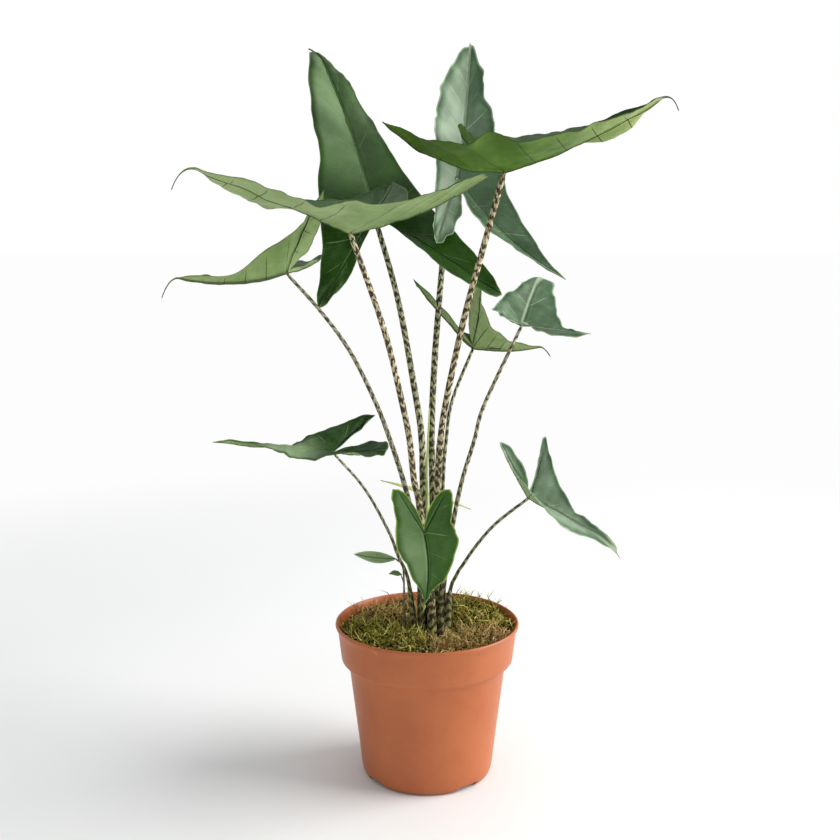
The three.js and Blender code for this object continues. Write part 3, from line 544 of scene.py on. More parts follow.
def half_blade(leaf, side):
    """The outer and the inner sheet of one half, side 0 on the left and 1 on the right.

    A row starts on the rib, which is the midrib's arched curve from the apex to the joint and then
    the costa's from the joint to the lobe's tip, and runs straight to the margin, one cubic curve
    from the apex to the lobe's tip. The inner sheet runs from the costa to the margin of the sinus.
    Cushions swell the middle of the rows, waves raise the margin, widened and raised make it uneven,
    and past curl_from the apex bends over as the square of the distance. Returns points, vein phase and
    distances."""
    ahead, out, left = blade_axes(leaf["apex"], leaf["face_up"])
    joint = np.asarray(leaf["joint"], float)
    apex = joint + leaf["apex"]
    tip = joint + leaf["lobes"][side]
    length = np.linalg.norm(leaf["apex"])
    sideways = left if side == 0 else -left
    to_lobe = unit(leaf["lobes"][side])
    lobe_side = unit(sideways - (sideways @ to_lobe) * to_lobe)
    lobe_out = np.cross(to_lobe, lobe_side)
    lobe_out = lobe_out if lobe_out @ out > 0 else -lobe_out

    midrib_arch = leaf["midrib_arch"] * out
    margin_arch = leaf.get("margin_arch", leaf["midrib_arch"]) * out
    costa_arch = leaf["lobe_arch"][side] * lobe_out + leaf["lobe_bow"][side] * lobe_side
    midrib = (joint, (joint + apex) / 2 + midrib_arch + leaf["midrib_bow"] * left, apex)
    costa = (joint, (joint + tip) / 2 + costa_arch, tip)
    margin = (
        apex,
        joint + leaf["reach"][side] * (apex - joint) + 0.9 * margin_arch
        + leaf["width"][side] * length * tilted(sideways, out, leaf["fold"][side]),
        joint + leaf["lobe_reach"][side] * (tip - joint) + 0.3 * costa_arch
        + leaf["lobe_width"][side] * length * tilted(lobe_side, lobe_out, leaf["lobe_fold"][side]),
        tip)

    u = np.concatenate([np.linspace(0, JOINT_SHARE, APEX_ROWS + 1),
                        np.linspace(JOINT_SHARE, 1, LOBE_ROWS + 1)[1:]])
    v = np.linspace(0, 1, BLADE_COLUMNS + 1) ** 1.25
    ahead_part = np.clip(1 - u / JOINT_SHARE, 0, 1)
    lobe_part = np.clip((u - JOINT_SHARE) / (1 - JOINT_SHARE), 0, 1)
    before = u <= JOINT_SHARE
    rib = np.where(before[:, None], bezier(midrib, ahead_part), bezier(costa, lobe_part))
    along = np.where(before, JOINT_SHARE * (1 - ahead_part ** 0.8),
                     JOINT_SHARE + (1 - JOINT_SHARE) * lobe_part ** 0.8)
    spread = np.maximum(0.15, smoothstep(leaf["taper"][0], leaf["taper"][1], u))
    reach_out = spread[:, None] * (bezier(margin, along) - rib)
    outer = rib[:, None, :] + v[None, :, None] * reach_out[:, None, :]
    rise = np.zeros((len(u), len(v)))
    for height, at, width in leaf["cushions"][side]:
        rise += height * bell(u, at, width)[:, None] * (4 * v * (1 - v))[None, :]
    height, count, phase = leaf["waves"][side]
    wave = height * np.sin(np.pi * u) * np.sin(2 * np.pi * count * u + phase)
    rise += wave[:, None] * (v * v)[None, :]
    widen = eased(leaf["widened"][side], u)
    outer = outer + (widen[:, None] * v[None, :])[..., None] * unit(reach_out)[:, None, :]
    rise += eased(leaf["raised"][side], u)[:, None] * (v ** 1.5)[None, :]
    outer = outer + rise[..., None] * out
    past = ((outer - joint) @ ahead) / length
    bend = np.clip((past - leaf["curl_from"]) / (1 - leaf["curl_from"]), 0, 2) ** 2
    outer = outer + bend[..., None] * np.asarray(leaf["tip_curl"], float)

    back = unit(unit(leaf["lobes"][0]) + unit(leaf["lobes"][1]))
    inward = leaf["sinus_width"][side] * length * tilted(-lobe_side, lobe_out, leaf["sinus_fold"][side])
    sinus = (
        joint + leaf["web"] * length * back,
        joint + 0.35 * (tip - joint) + inward + 0.6 * costa_arch,
        joint + leaf["lobe_reach"][side] * (tip - joint) + inward + 0.3 * costa_arch,
        tip)
    t = np.linspace(0, 1, LOBE_ROWS + 1)
    costa_line = bezier(costa, t)
    sinus_out = bezier(sinus, t) - costa_line
    inner = costa_line[:, None, :] + v[None, :, None] * sinus_out[:, None, :]
    small_wave = 0.6 * height * np.sin(np.pi * t) * np.sin(6 * np.pi * t + phase)
    inner = inner + (small_wave[:, None] * (v * v)[None, :])[..., None] * out
    widen, raised = eased(leaf["sinus_widened"][side], t), eased(leaf["sinus_raised"][side], t)
    inner = inner + (widen[:, None] * v[None, :])[..., None] * unit(sinus_out)[:, None, :]
    inner = inner + (raised[:, None] * (v ** 1.5)[None, :])[..., None] * out

    ahead_veins, lobe_veins = leaf["vein_pairs"]
    lean = leaf["vein_lean"] * v[None, :] * (1 - lobe_part)[:, None]
    outer_phase = (lobe_veins * lobe_part - ahead_veins * ahead_part)[:, None] + lean
    inner_phase = np.repeat((lobe_veins * t)[:, None], len(v), axis=1)
    sheets = []
    ahead_rows = np.repeat(ahead_part[:, None], len(v), axis=1)
    for points, phase_of, to_margin, ahead_share in (
            (outer, outer_phase, reach_out, ahead_rows), (inner, inner_phase, sinus_out, 0 * inner_phase)):
        step = np.linalg.norm(np.gradient(points, axis=0), axis=-1)
        gap = step / np.maximum(np.abs(np.gradient(phase_of, axis=0)), 1e-4)
        width = np.linalg.norm(to_margin, axis=-1)
        sheets.append({"points": points, "phase": phase_of, "gap": gap, "along": ahead_share,
                       "bloom": np.full(width.shape + v.shape, float(leaf["bloom_halves"][side])),
                       "rib": width[:, None] * v[None, :], "edge": width[:, None] * (1 - v)[None, :]})
    return sheets


def blade_surface(leaf):
    """All sheets of a blade joined into an upper skin, with a lower skin behind it and a closed rim.

    Along the ribs the upper skin has a groove and the lower one a rounded keel, both fading towards
    the tips, and the skin swells a little between the side veins."""
    sheets = [(sheet, (side == 0) != (k == 1)) for side in (0, 1)
              for k, sheet in enumerate(half_blade(leaf, side))]
    rows = [sheet["points"].shape[:2] for sheet, _ in sheets]
    starts = np.cumsum([0] + [r * c for r, c in rows])
    triangles = np.concatenate([
        grid_triangles(r, c, start, flip) for (r, c), start, (_, flip) in zip(rows, starts, sheets)])
    points = np.concatenate([sheet["points"].reshape(-1, 3) for sheet, _ in sheets])
    values = {key: np.concatenate([sheet[key].ravel() for sheet, _ in sheets])
              for key in ("phase", "gap", "rib", "edge", "along", "bloom")}
    _, first, merged = np.unique(np.round(points, 3), axis=0, return_index=True, return_inverse=True)
    triangles = merged.ravel()[triangles]
    triangles = triangles[(triangles != np.roll(triangles, -1, axis=1)).all(axis=1)]
    points = points[first]
    values = {key: value[first] for key, value in values.items()}

    normals = point_normals(points, triangles)
    open_width = values["rib"] + values["edge"]
    strength = smoothstep(1.0, 14.0, open_width)
    groove = GROOVE_DEPTH * bell(values["rib"], 0, RIB_HALF_WIDTH) * strength
    keel = RIB_DEPTH * (0.25 + 0.75 * strength) * bell(values["rib"], 0, RIB_HALF_WIDTH * 0.6)
    between = np.sin(np.pi * values["phase"]) ** 2
    swell = 0.6 * between * strength * smoothstep(0, 6, values["rib"]) * smoothstep(0, 6, values["edge"])
    swell += 0.5 * strength * bell(values["rib"], 2.6, 1.5)
    crinkle = (0.35 * ripples(points, 16.0, 5) + 0.9 * ripples(points, 38.0, 6)) * strength
    crinkle += 0.8 * ripples(points, 20.0, 7) * strength * np.exp(-values["edge"] / 5)
    upper = points + (swell - groove + crinkle)[:, None] * normals
    lower = points + (swell + crinkle - SKIN - keel)[:, None] * normals

    keys = {"vein_phase": "phase", "vein_gap": "gap", "rib_distance": "rib", "edge_distance": "edge",
            "blade_along": "along", "bloom_share": "bloom"}
    both = {key: np.tile(values[short], 2) for key, short in keys.items()}
    both["lower_side"] = np.repeat([0.0, 1.0], len(points))
    return *two_skins(upper, lower, triangles), both


def make_blades():
    """The ten arrow-shaped blades."""
    looks = {key: leaf_material("leaf_" + key, look) for key, look in LEAF_LOOKS.items() if key != "young"}
    for name, leaf in BLADES.items():
        points, faces, values = blade_surface(leaf)
        add_piece("leaf_" + name, points, faces, looks[leaf["look"]], "blade_" + name, values)


# Small lance-shaped blades: start, end, the way the face looks, half the width, fold, sag, look, slot

NARROW_BLADES = {
    "offset_blade_large": ((-28, 2, 203), (-67, -10, 211), (0, -0.55, 0.83), 7, 12, -2, "painted_grey_sheen",
                           "grey_leaf"),
    "offset_blade_small": ((-23.5, -1, 188.5), (-35, -6, 191), (0.2, -0.4, 0.9), 3.6, 10, 1.5, "deep",
                           "green_leaf"),
    "young_leaf_blade": ((41, 34, 242), (-44, 34, 270), (0.3, -0.2, 0.9), 4.5, 16, 1, "young", "pale_shoot"),
}


def narrow_blade(start, end, face_up, half_width, fold, sag):
    """A lance-shaped blade: rows across an arched midrib, as wide as a sine of the way along it, both
    halves folded up from it, closed by a second skin half a millimetre below."""
    rows, columns = 48, 17
    start, end = np.asarray(start, float), np.asarray(end, float)
    _, out, left = blade_axes(end - start, face_up)
    u = np.linspace(0, 1, rows)
    across = np.linspace(-1, 1, columns)
    rib = start + u[:, None] * (end - start) + (4 * sag * u * (1 - u))[:, None] * out
    width = half_width * np.sin(np.pi * np.clip(u, 0.004, 0.996)) ** 0.85
    sideways = width[:, None] * across[None, :]
    slope = math.tan(math.radians(fold))
    lift = slope * np.abs(sideways) + 0.25 * np.sin(9 * u)[:, None] * across[None, :] ** 2
    points = rib[:, None] + sideways[..., None] * left + lift[..., None] * out
    points = points.reshape(-1, 3)
    triangles = grid_triangles(rows, columns, flip=True)
    rib_distance = np.abs(sideways).ravel()
    lower = points - (SKIN + 0.5 * bell(rib_distance, 0, 0.7))[:, None] * point_normals(points, triangles)
    phase = (6 * u)[:, None] - 1.2 * np.abs(across)[None, :]
    edge_distance = (width[:, None] * (1 - np.abs(across))[None, :]).ravel()
    gap = np.full(rows * columns, np.linalg.norm(end - start) / 6)
    values = {"vein_phase": phase.ravel(), "vein_gap": gap, "rib_distance": rib_distance,
              "edge_distance": edge_distance, "blade_along": np.repeat(u, columns),
              "bloom_share": np.ones(rows * columns)}
    values = {key: np.tile(value, 2) for key, value in values.items()}
    values["lower_side"] = np.repeat([0.0, 1.0], rows * columns)
    return *two_skins(points, lower, triangles), values


def make_narrow_blades():
    """The young leaf behind the stems and the two small leaves of the offset."""
    for node, (*shape, look, slot) in NARROW_BLADES.items():
        material = leaf_material("small_" + node, LEAF_LOOKS[look])
        points, faces, values = narrow_blade(*shape)
        add_piece("small_" + node, points, faces, material, node, values)


# Petioles and the rolled new leaf: finish, radii at the base, the middle and the top, the sheath's
# shoulder, depth and turn, and the route, which starts at the height of STALK_BASE

STALK_BASE = 126.8
STALKS = {
    "petiole_upper_left": ("tan", (4.2, 3.2, 2.4), (0.16, 1.0, 200), ((5, -12), (3, -12, 178),
        (-3, -12, 225), (-8, -12, 263), (-12, -13, 281), (-16, -14, 318), (-23, -16, 354),
        (-38, -21, 417))),
    "petiole_top_left": ("zebra", (4, 3.5, 2.5), (0.2, 0.8, 90), ((-3.5, 9.5), (-3, 8, 200), (-4, 11, 276),
        (-5, 15, 313), (-10, 21, 349), (-27, 45, 439))),
    "petiole_top_centre": ("zebra", (4, 3.5, 2.6), (0.2, 0.6, 40), ((5.5, 11), (6, 14, 199), (5, 19, 274),
        (4, 23, 311), (5, 28, 348), (9, 45, 411), (17, 70, 494))),
    "petiole_top_right": ("tan", (4, 3.2, 2.6), (0.44, 1.3, 180), ((11, 3.5), (8, 3, 202), (10, 0, 278),
        (12, -1, 316), (17, -3, 352), (32, -9, 425), (50, -15, 494))),
    "petiole_middle_left": ("dark", (3.8, 2.9, 1.5), (0.3, 1.2, 170), ((-5, 1), (-7, 1, 202), (-13, 3, 240),
        (-22, 5, 277), (-34, 8, 314), (-47, 11, 348), (-70, 15, 394), (-97, 18, 431))),
    "petiole_middle_right_back": ("zebra", (2.4, 2, 1.5), (0.1, 0.3, 0), ((12.5, 12), (12, 16, 198),
        (15, 27, 272), (18, 36, 309), (24, 52, 344))),
    "petiole_middle_right": ("dark", (3.6, 2.5, 1.5), (0.22, 0.9, 0), ((12, -5.5), (14, -5, 176),
        (20, -4, 213), (25, -2, 246), (32, 2, 278), (43, 7, 314), (52, 11, 346))),
    "petiole_low_right": ("dark", (3.2, 1.7, 1.3), (0.28, 1.9, 340), ((19, -1.5), (21, -7, 174),
        (27, -10, 192), (33, -13, 203), (45, -19, 223), (62, -29, 246))),
    "petiole_low_left": ("dark", (3.2, 1.7, 1.1), (0.25, 0.9, 180), ((-11, -4.5), (-15, -6, 169),
        (-19, -8, 192), (-27, -11, 211), (-35, -15, 234), (-56, -22, 275))),
    "petiole_low_front": ("dark", (3, 2.2, 1.7), (0.2, 0.6, 200), ((-3.5, -8), (-5, -16, 179),
        (-5, -30, 212))),
    "new_leaf_roll": ("shoot", (2.6, 2.6, 0.6), None, ((3, -2), (2, -2, 175), (0, -4, 259), (0, -4, 298),
        (2, -3, 345))),
    "young_leaf_petiole": ("shoot", (1.6, 1.4, 1.2), None, ((-0.5, 16.5), (-1, 27, 190),
        (-1.5, 34, 255.8))),
    "offset_petiole_large": ("plain", (1.4, 1, 0.8), None, ((-22, 4), (-21.5, 5, 177), (-23, 4, 196),
        (-28.3, 2.2, 202.6))),
    "offset_petiole_small": ("plain", (1.1, 0.8, 0.6), None, ((-20.5, 0), (-21, -0.5, 174),
        (-23.7, -1, 188.0))),
}
BAND_LENGTH = 8.5        # millimetres along a stalk from one dark band to the next


def smooth_route(points, samples):
    """Catmull-Rom curve through the points, sampled evenly in each span."""
    points = np.asarray(points, float)
    ends = np.vstack([2 * points[0] - points[1], points, 2 * points[-1] - points[-2]])
    spans = len(points) - 1
    s = np.linspace(0, spans - 1e-9, samples)
    k = s.astype(int)
    t = (s - k)[:, None]
    a, b, c, d = (ends[k + i] for i in range(4))
    square, cube = 2 * a - 5 * b + 4 * c - d, 3 * b - a - 3 * c + d
    return 0.5 * (2 * b + (c - a) * t + square * t ** 2 + cube * t ** 3)


def swept_tube(centres, radii):
    """A closed round tube: rings square to the curve, their radii given for each ring and side, with
    flat ends. Ring directions start from the front, so they never twist."""
    along = unit(np.gradient(centres, axis=0))
    front = np.array([0.0, -1.0, 0.0])
    first = unit(front - (along @ front)[:, None] * along)
    second = np.cross(along, first)
    angle = np.arange(radii.shape[1]) * 2 * np.pi / radii.shape[1]
    ring = np.cos(angle)[None, :, None] * first[:, None] + np.sin(angle)[None, :, None] * second[:, None]
    return closed_rings(centres[:, None] + radii[..., None] * ring, centres[0], centres[-1])


def stalk_surface(node, shape, seed):
    """A stalk along its route. Its radius falls from the sheathing base to the blade, the sheath
    stands out on one side up to its shoulder, faint ribs run along it, and a sheathed stalk narrows
    at its very end. Values give each point's place round the stalk and along it in band lengths."""
    finish, (base, middle, top), sheath, (start, *route) = shape
    route = [(*start, STALK_BASE), *route]
    blade_name = node.removeprefix("petiole_")
    if blade_name in BLADES:
        leaf = BLADES[blade_name]
        _, out, _ = blade_axes(leaf["apex"], leaf["face_up"])
        route.append(np.asarray(leaf["joint"], float) - 0.6 * out)
    rows, sides = 150, 24
    centres = smooth_route(route, rows)
    steps = np.linalg.norm(np.diff(centres, axis=0), axis=1)
    distance = np.concatenate([[0.0], np.cumsum(steps)])
    t = distance / distance[-1]
    radius = top + (middle - top) * (1 - t) + (base - middle) * np.exp(-((t / 0.2) ** 2))
    angle = np.arange(sides) * 2 * np.pi / sides
    radii = np.repeat(radius[:, None], sides, axis=1)
    if sheath:
        shoulder, depth, turn = sheath
        facing = np.clip(np.cos(angle - math.radians(turn)), 0, 1) ** 0.7
        radii += depth * (1 - smoothstep(shoulder - 0.03, shoulder + 0.012, t))[:, None] * facing
        radii *= (1 - 0.3 * smoothstep(0.985, 1.0, t))[:, None]
    if finish == "shoot":
        radii *= (1 + 0.16 * (angle / (2 * np.pi) - 0.5))[None, :]
    radii *= 1 + 0.02 * np.cos(5 * angle)[None, :]
    lumps = np.random.default_rng(seed).normal(size=4)
    lumpy = 1 + 0.015 * np.sin(14 * np.pi * t + lumps[0]) + 0.015 * np.sin(31 * np.pi * t + lumps[1])
    radii *= lumpy[:, None]
    points, faces = swept_tube(centres, radii)
    along = (distance / BAND_LENGTH)[:, None]
    place = np.stack(np.broadcast_arrays(np.cos(angle), np.sin(angle), along), -1).reshape(-1, 3)
    place = np.vstack([place, [0, 0, 0], [0, 0, along[-1, 0]]])
    turn = 0.3 * np.cos(angle + 2.1 * seed + 0.25 * along) + 0.15 * np.cos(3 * angle + 0.9 * along)
    return points, faces, {"stalk_place": place + 10.0 * seed, "stalk_turn": np.append(turn.ravel(), [0, 0])}


def make_stalks():
    """The petioles, the rolled new leaf and the thin stalks of the small leaves."""
    finishes = {name: (stalk_material("stalk_" + name, *look), slot) for name, slot, *look in (
        ("zebra", "zebra_stalk", (188, 186, 148), (44, 40, 20), (132, 134, 88), 0.6),
        ("tan", "zebra_stalk", (212, 198, 162), (56, 48, 28), (158, 146, 104), 0.6),
        ("dark", "grey_stalk", (186, 182, 154), (64, 60, 42), (142, 138, 106), 0.56),
        ("plain", "grey_stalk", (170, 166, 144), (96, 92, 76), (140, 138, 116), 0.4))}
    finishes["shoot"] = (shoot_material("shoot", tone(196, 206, 130), tone(150, 168, 84)), "pale_shoot")
    for seed, (node, shape) in enumerate(STALKS.items()):
        points, faces, values = stalk_surface(node, shape, seed)
        material, slot = finishes[shape[0]]
        add_piece("stem_" + node, points, faces, material, node, values, sharp=60)


# Pot

POT_OUTSIDE = ((0, 0), (52, 0), (57.4, 0.6), (59.6, 2), (60.6, 4.4), (61.3, 8), (61.9, 12), (64.0, 32),
               (66.4, 52), (68.8, 72), (71.2, 92), (72.6, 104), (73.2, 105.4), (78.6, 109.7), (79.4, 110.6),
               (79.8, 112.2), (80.7, 120), (81.7, 129), (82.6, 137), (83.3, 139.4), (84.5, 141.2), (85, 142.4),
               (85, 143.6), (84.7, 144.5), (84.1, 145))
POT_INSIDE = ((83.2, 144.9), (82.7, 144.3), (82.1, 142.2), (80.8, 137), (78.2, 113.2), (77.6, 111.6),
              (71.6, 105.2), (70.8, 103.4), (66.0, 62), (59.8, 12), (57.4, 5), (53.5, 3), (0, 3))
POT_SIDES = 256
NOTCH_COUNT, NOTCH_START, NOTCH_WIDTH, NOTCH_HEIGHT = 4, -52.0, 22.0, 5.0
NOTCH_DEPTH, FOOT_RADIUS = 9, 61.4
HOLE_COUNT, HOLE_CIRCLE, HOLE_RADIUS = 6, 34.0, 4.0
SCUFFS = ((0.044, -0.067, 0.1405), (0.0296, -0.061, 0.102))


def softened(profile, spacing):
    """The profile with points added so that none are further apart than the spacing."""
    profile = np.asarray(profile, float)
    pieces = []
    for start, end in zip(profile[:-1], profile[1:]):
        count = max(1, int(np.ceil(np.linalg.norm(end - start) / spacing)))
        share = np.arange(count)[:, None] / count
        pieces.append(start + share * (end - start))
    return np.vstack(pieces + [profile[-1:]])


def turned(profile, sides):
    """A closed body turned about the Z axis from a profile that starts and ends on the axis."""
    inner = profile[1:-1]
    angle = np.arange(sides) * 2 * np.pi / sides
    rings = np.stack([inner[:, :1] * np.cos(angle), inner[:, :1] * np.sin(angle),
                      np.repeat(inner[:, 1:], sides, axis=1)], axis=-1)
    return closed_rings(rings, [0, 0, profile[0, 1]], [0, 0, profile[-1, 1]])


def pot_material():
    """Moulded plastic: one warm orange with faint broad clouds, sparse pale scuffs and dark specks,
    finer dust towards the foot, and slightly uneven gloss."""
    write = Finish("pot_plastic")
    place = write.place
    clouds = write.use(MOTTLE, Vector=place, Size=18.0, Fine=0.25)
    colour = write.blend(write.ramp(clouds, 0.3, 0.7), tone(176, 96, 54), tone(186, 106, 62))
    patch = write.noise(26.0, 2.0, place)
    scuffs = write.noise(120.0, 5.0, place, 0.7)
    worn = write.times(write.ramp(scuffs, 0.63, 0.72), write.ramp(patch, 0.56, 0.66))
    colour = write.over(colour, worn, 0.5, tone(226, 158, 112))
    for spot in SCUFFS:
        away = write.ramp(write.vector("DISTANCE", place, spot)["Value"], 0.006, 0.002)
        mark = write.times(away, write.ramp(write.noise(260.0, 2.0, place), 0.5, 0.6))
        colour = write.over(colour, mark, 0.55, tone(96, 50, 30))
    specks = write.ramp(write.noise(330.0, 2.0, place), 0.73, 0.78)
    colour = write.over(colour, specks, 0.45, tone(120, 66, 42))
    dust = write.times(write.ramp(write.height, 0.02, 0.0), patch)
    colour = write.over(colour, dust, 0.3, tone(140, 88, 60))
    write.coat(colour, clouds, 0.14, 0.36, 0.35)
    fine = write.noise(1400.0, 2.0, place)
    return write.relief(write.scaled(fine, 0.3, write.times(worn, -0.6)), 0.0001, 0.5)


def make_pot():
    """The pot's wall and collar as one turned body, with four notches cut out of its foot and drain
    holes through its floor."""
    profile = softened(POT_OUTSIDE + POT_INSIDE, 6.0)
    points, faces = turned(profile, POT_SIDES)
    pot = add_piece("nursery_pot", points, faces, pot_material(), "pot", sharp=35)
    cutters = []
    for i in range(NOTCH_COUNT):
        turn = math.radians(NOTCH_START + 360.0 * i / NOTCH_COUNT)
        corners = np.array([[x, y, z] for x in (-1, 1) for y in (-1, 1) for z in (-1, 1)], float)
        box = corners * [NOTCH_WIDTH / 2, NOTCH_DEPTH, NOTCH_HEIGHT] - [0, FOOT_RADIUS, 0]
        c, s = math.cos(turn), math.sin(turn)
        spin = np.array([[c, s, 0], [-s, c, 0], [0, 0, 1]])
        cutters.append(box @ spin)
    quads = np.array([[0, 1, 3, 2], [4, 6, 7, 5], [0, 4, 5, 1], [2, 3, 7, 6], [0, 2, 6, 4], [1, 5, 7, 3]])
    cut_faces = np.vstack([quads + 8 * i for i in range(NOTCH_COUNT)]).tolist()
    drill, drill_faces = turned(np.array([[0, -1], [HOLE_RADIUS, -1], [HOLE_RADIUS, 4.5], [0, 4.5]]), 24)
    for i in range(HOLE_COUNT):
        turn = 2 * math.pi * i / HOLE_COUNT
        cut_faces += (drill_faces + sum(len(part) for part in cutters)).tolist()
        cutters.append(drill + [HOLE_CIRCLE * math.cos(turn), HOLE_CIRCLE * math.sin(turn), 0])
    mesh = bpy.data.meshes.new("notches")
    mesh.from_pydata((np.vstack(cutters) * MM).tolist(), [], cut_faces)
    tool = new_object("notches", mesh)
    cut = pot.modifiers.new("notches", "BOOLEAN")
    cut.operation, cut.solver, cut.object = "DIFFERENCE", "EXACT", tool
    bpy.context.view_layer.update()
    finished = bpy.data.meshes.new_from_object(pot.evaluated_get(bpy.context.evaluated_depsgraph_get()))
    pot.modifiers.clear()
    pot.data = finished
    bpy.data.objects.remove(tool)


# Soil, rhizome and corm

def soil_material(name, dark, light):
    """Damp peat: near black with brown crumbs of several sizes."""
    write = Finish(name)
    crumbs = write.noise(420.0, 5.0, write.place, 0.7)
    write.coat(write.blend(write.ramp(crumbs, 0.42, 0.7), dark, light), crumbs, 0.2, 0.75)
    return write.relief(crumbs, 0.0012, 1.0)


def make_soil():
    """A plug of soil inside the pot with a crumbly top, and the two knobbly stocks set in it. Their
    heights and radii are those of the turned shapes plus small ripples."""
    profile = softened(((0, 3.3), (52.5, 3.3), (56.2, 5.6), (59.5, 12.1), (70.5, 103.6), (77.6, 112),
                        (79, 125.4), (78, 126), (0, 126)), 3.0)
    points, faces = turned(profile, 180)
    top = smoothstep(123, 126, points[:, 2])
    points[:, 2] += top * (1.1 * ripples(points, 9.0, 21, 4) - 0.5)
    add_piece("potting_soil", points, faces, soil_material("peat", tone(22, 15, 10), tone(66, 46, 30)),
              "soil", sharp=None)
    bark = soil_material("stock_bark", tone(44, 34, 22), tone(110, 88, 56))
    for node, place, shape in (
            ("rhizome", (4, 0, 0),
             ((0, 96), (12, 98), (18.4, 106), (20, 116), (20, 124), (18.8, 126.7), (0, 126.7))),
            ("offset_corm", (-21.3, 2, 0),
             ((0, 112), (3.4, 113.5), (4.8, 119), (4.8, 124), (4.3, 126.7), (0, 126.7)))):
        points, faces = turned(softened(shape, 1.2), 90)
        centre = points * [1, 1, 0]
        push = 0.6 * ripples(points, 7.0, 23) + 0.35 * np.sin(points[:, 2] * 1.9) - 0.6
        points += push[:, None] * unit(centre)
        add_piece("stock_" + node, points + place, faces, bark, node, sharp=None)


# Moss

MOSS_OUTER, MOSS_HOLLOW = 79.0, 23.0
HOLLOW_BULGE, HOLLOW_ANGLE = 15.0, -72.0
MOSS_BOTTOM, MOSS_EDGE = 126.2, 2.5
MOSS = {
    "moss_left_front": {"sector": (168, 272), "height": 15, "kind": "green"},
    "moss_right_front": {"sector": (272, 352), "height": 14, "kind": "brown"},
    "moss_back_right": {"sector": (352, 442), "height": 17.5, "kind": "green"},
    "moss_back_left": {"sector": (82, 168), "height": 12, "kind": "brown"},
}
# Each family of strands: how many, rings, and the ranges of length, half width, curl and droop.
MOSS_STRANDS = {
    "short": (1900, 6, (3.0, 6.5), (0.7, 1.3), (0.6, 1.7), (0.1, 0.5)),
    "curly": (520, 10, (8.0, 15.0), (0.45, 0.8), (0.8, 1.9), (0.0, 0.5)),
    "twigs": (45, 4, (4.0, 9.0), (0.4, 0.9), (0.0, 0.15), (0.0, 0.2)),
    "wisps": (16, 10, (10.0, 17.0), (0.2, 0.34), (0.2, 0.8), (-0.2, 0.3)),
}


def moss_material(name, old, fresh, tips):
    """Moss strands: each has its own tone between old and fresh, brown and olive patches run through
    the cushion, roots are nearly black, partly their own old stems and partly painted shade deep in
    the cushion, and tips pale. A tone above one is a dry brown twig."""
    write = Finish(name)
    patch = write.ramp(write.use(MOTTLE, Vector=write.place, Size=38.0, Fine=0.35), 0.42, 0.58)
    own = write.attribute("strand_tone")
    tip = write.attribute("strand_tip")
    mix = write.math("ADD", write.times(own, 0.45), write.times(patch, 0.55), clamp=True)
    colour = write.blend(mix, old, fresh)
    bright = write.math("POWER", own, 3.0, clamp=True)
    colour = write.over(colour, write.ramp(tip, 0.4, 1.0), bright, tips)
    colour = write.blend(write.ramp(own, 1.05, 1.2), colour, tone(128, 94, 58))
    # Painted shade: each strand darkens to near black towards its root, standing in for the shade deep in the
    # cushion; the brightest strands darken less.
    depth = write.ramp(tip, 0.1, write.math("SUBTRACT", 1.1, write.times(bright, 0.6)))
    write.coat(write.blend(depth, tone(22, 17, 8), colour), patch, 0.15, 0.7, 0.2)
    return write.relief(write.noise(1500.0, 2.0, write.place), 0.0003, 0.8)


def moss_height(degrees, out, sector, height):
    """Height of a cushion's top: it rises from the hollow, sinks a little at the wall and where two
    cushions meet, and has lumps."""
    across = (degrees - sector[0]) / (sector[1] - sector[0])
    crown = 0.62 + 0.38 * np.sqrt(np.clip(np.sin(np.pi * across), 0, 1))
    rise = smoothstep(-0.05, 0.3, out) * (1 - 0.25 * smoothstep(0.8, 1, out))
    lumps = 0.86 + 0.14 * np.sin(9 * across + 5 * out) * np.cos(7 * out - 4 * across)
    return MOSS_EDGE + (height - MOSS_EDGE) * crown * rise * lumps


def moss_place(degrees, out, sector, height):
    """Points on a cushion's top at an angle and a share of the way from the hollow to the wall."""
    turn = np.radians(degrees - HOLLOW_ANGLE)
    inner = MOSS_HOLLOW + HOLLOW_BULGE * np.clip(np.cos(turn), 0, 1) ** 3
    radius = inner + (MOSS_OUTER - inner) * out
    angle = np.radians(degrees)
    level = MOSS_BOTTOM + moss_height(degrees, out, sector, height)
    points = np.stack([radius * np.cos(angle), radius * np.sin(angle), level], -1)
    points[..., 2] += 3.6 * ripples(points * [1, 1, 0], 15.0, 31, 2) * smoothstep(0, 0.2, out)
    return points


def strands(roots, directions, family, draw):
    """Thin three-sided stems, all at once: each leaves its root along its direction, arches over
    sideways and droops, and narrows to its tip."""
    count, rings, lengths, widths, curls, droops = family
    t = np.linspace(0, 1, rings)
    length = draw.uniform(*lengths, count)[:, None]
    sideways = unit(np.cross(directions, draw.normal(size=(count, 3))))
    curl = draw.uniform(*curls, count)[:, None]
    droop = draw.uniform(*droops, count)[:, None]
    centre = (roots[:, None] + (length * t)[..., None] * directions[:, None]
              + (length * curl * t ** 2)[..., None] * sideways[:, None])
    centre[..., 2] -= length * droop * t ** 2
    wobble = 0.1 * curl * length * np.sin(9 * t + draw.uniform(0, 6, (count, 1)))
    centre = centre + wobble[..., None] * np.cross(sideways, directions)[:, None]
    along = unit(np.gradient(centre, axis=1))
    first = unit(np.cross(along, sideways[:, None] + 0.01))
    second = np.cross(along, first)
    radius = draw.uniform(*widths, count)[:, None] * (1 - 0.75 * t ** 2)
    radius = radius * (1 + 0.25 * np.sin(14 * t + 2 * curl))
    angle = np.arange(3) * 2 * np.pi / 3
    ring = (np.cos(angle)[:, None] * first[:, :, None] + np.sin(angle)[:, None] * second[:, :, None])
    points = centre[:, :, None] + radius[:, :, None, None] * ring
    ids = np.arange(count * rings * 3).reshape(count, rings, 3)
    caps = np.concatenate([ids[:, 0, ::-1], ids[:, -1, :]])
    tip = np.broadcast_to(t[None, :, None], (count, rings, 3)).ravel()
    return points.reshape(-1, 3), np.concatenate([ring_walls(ids), caps]), tip


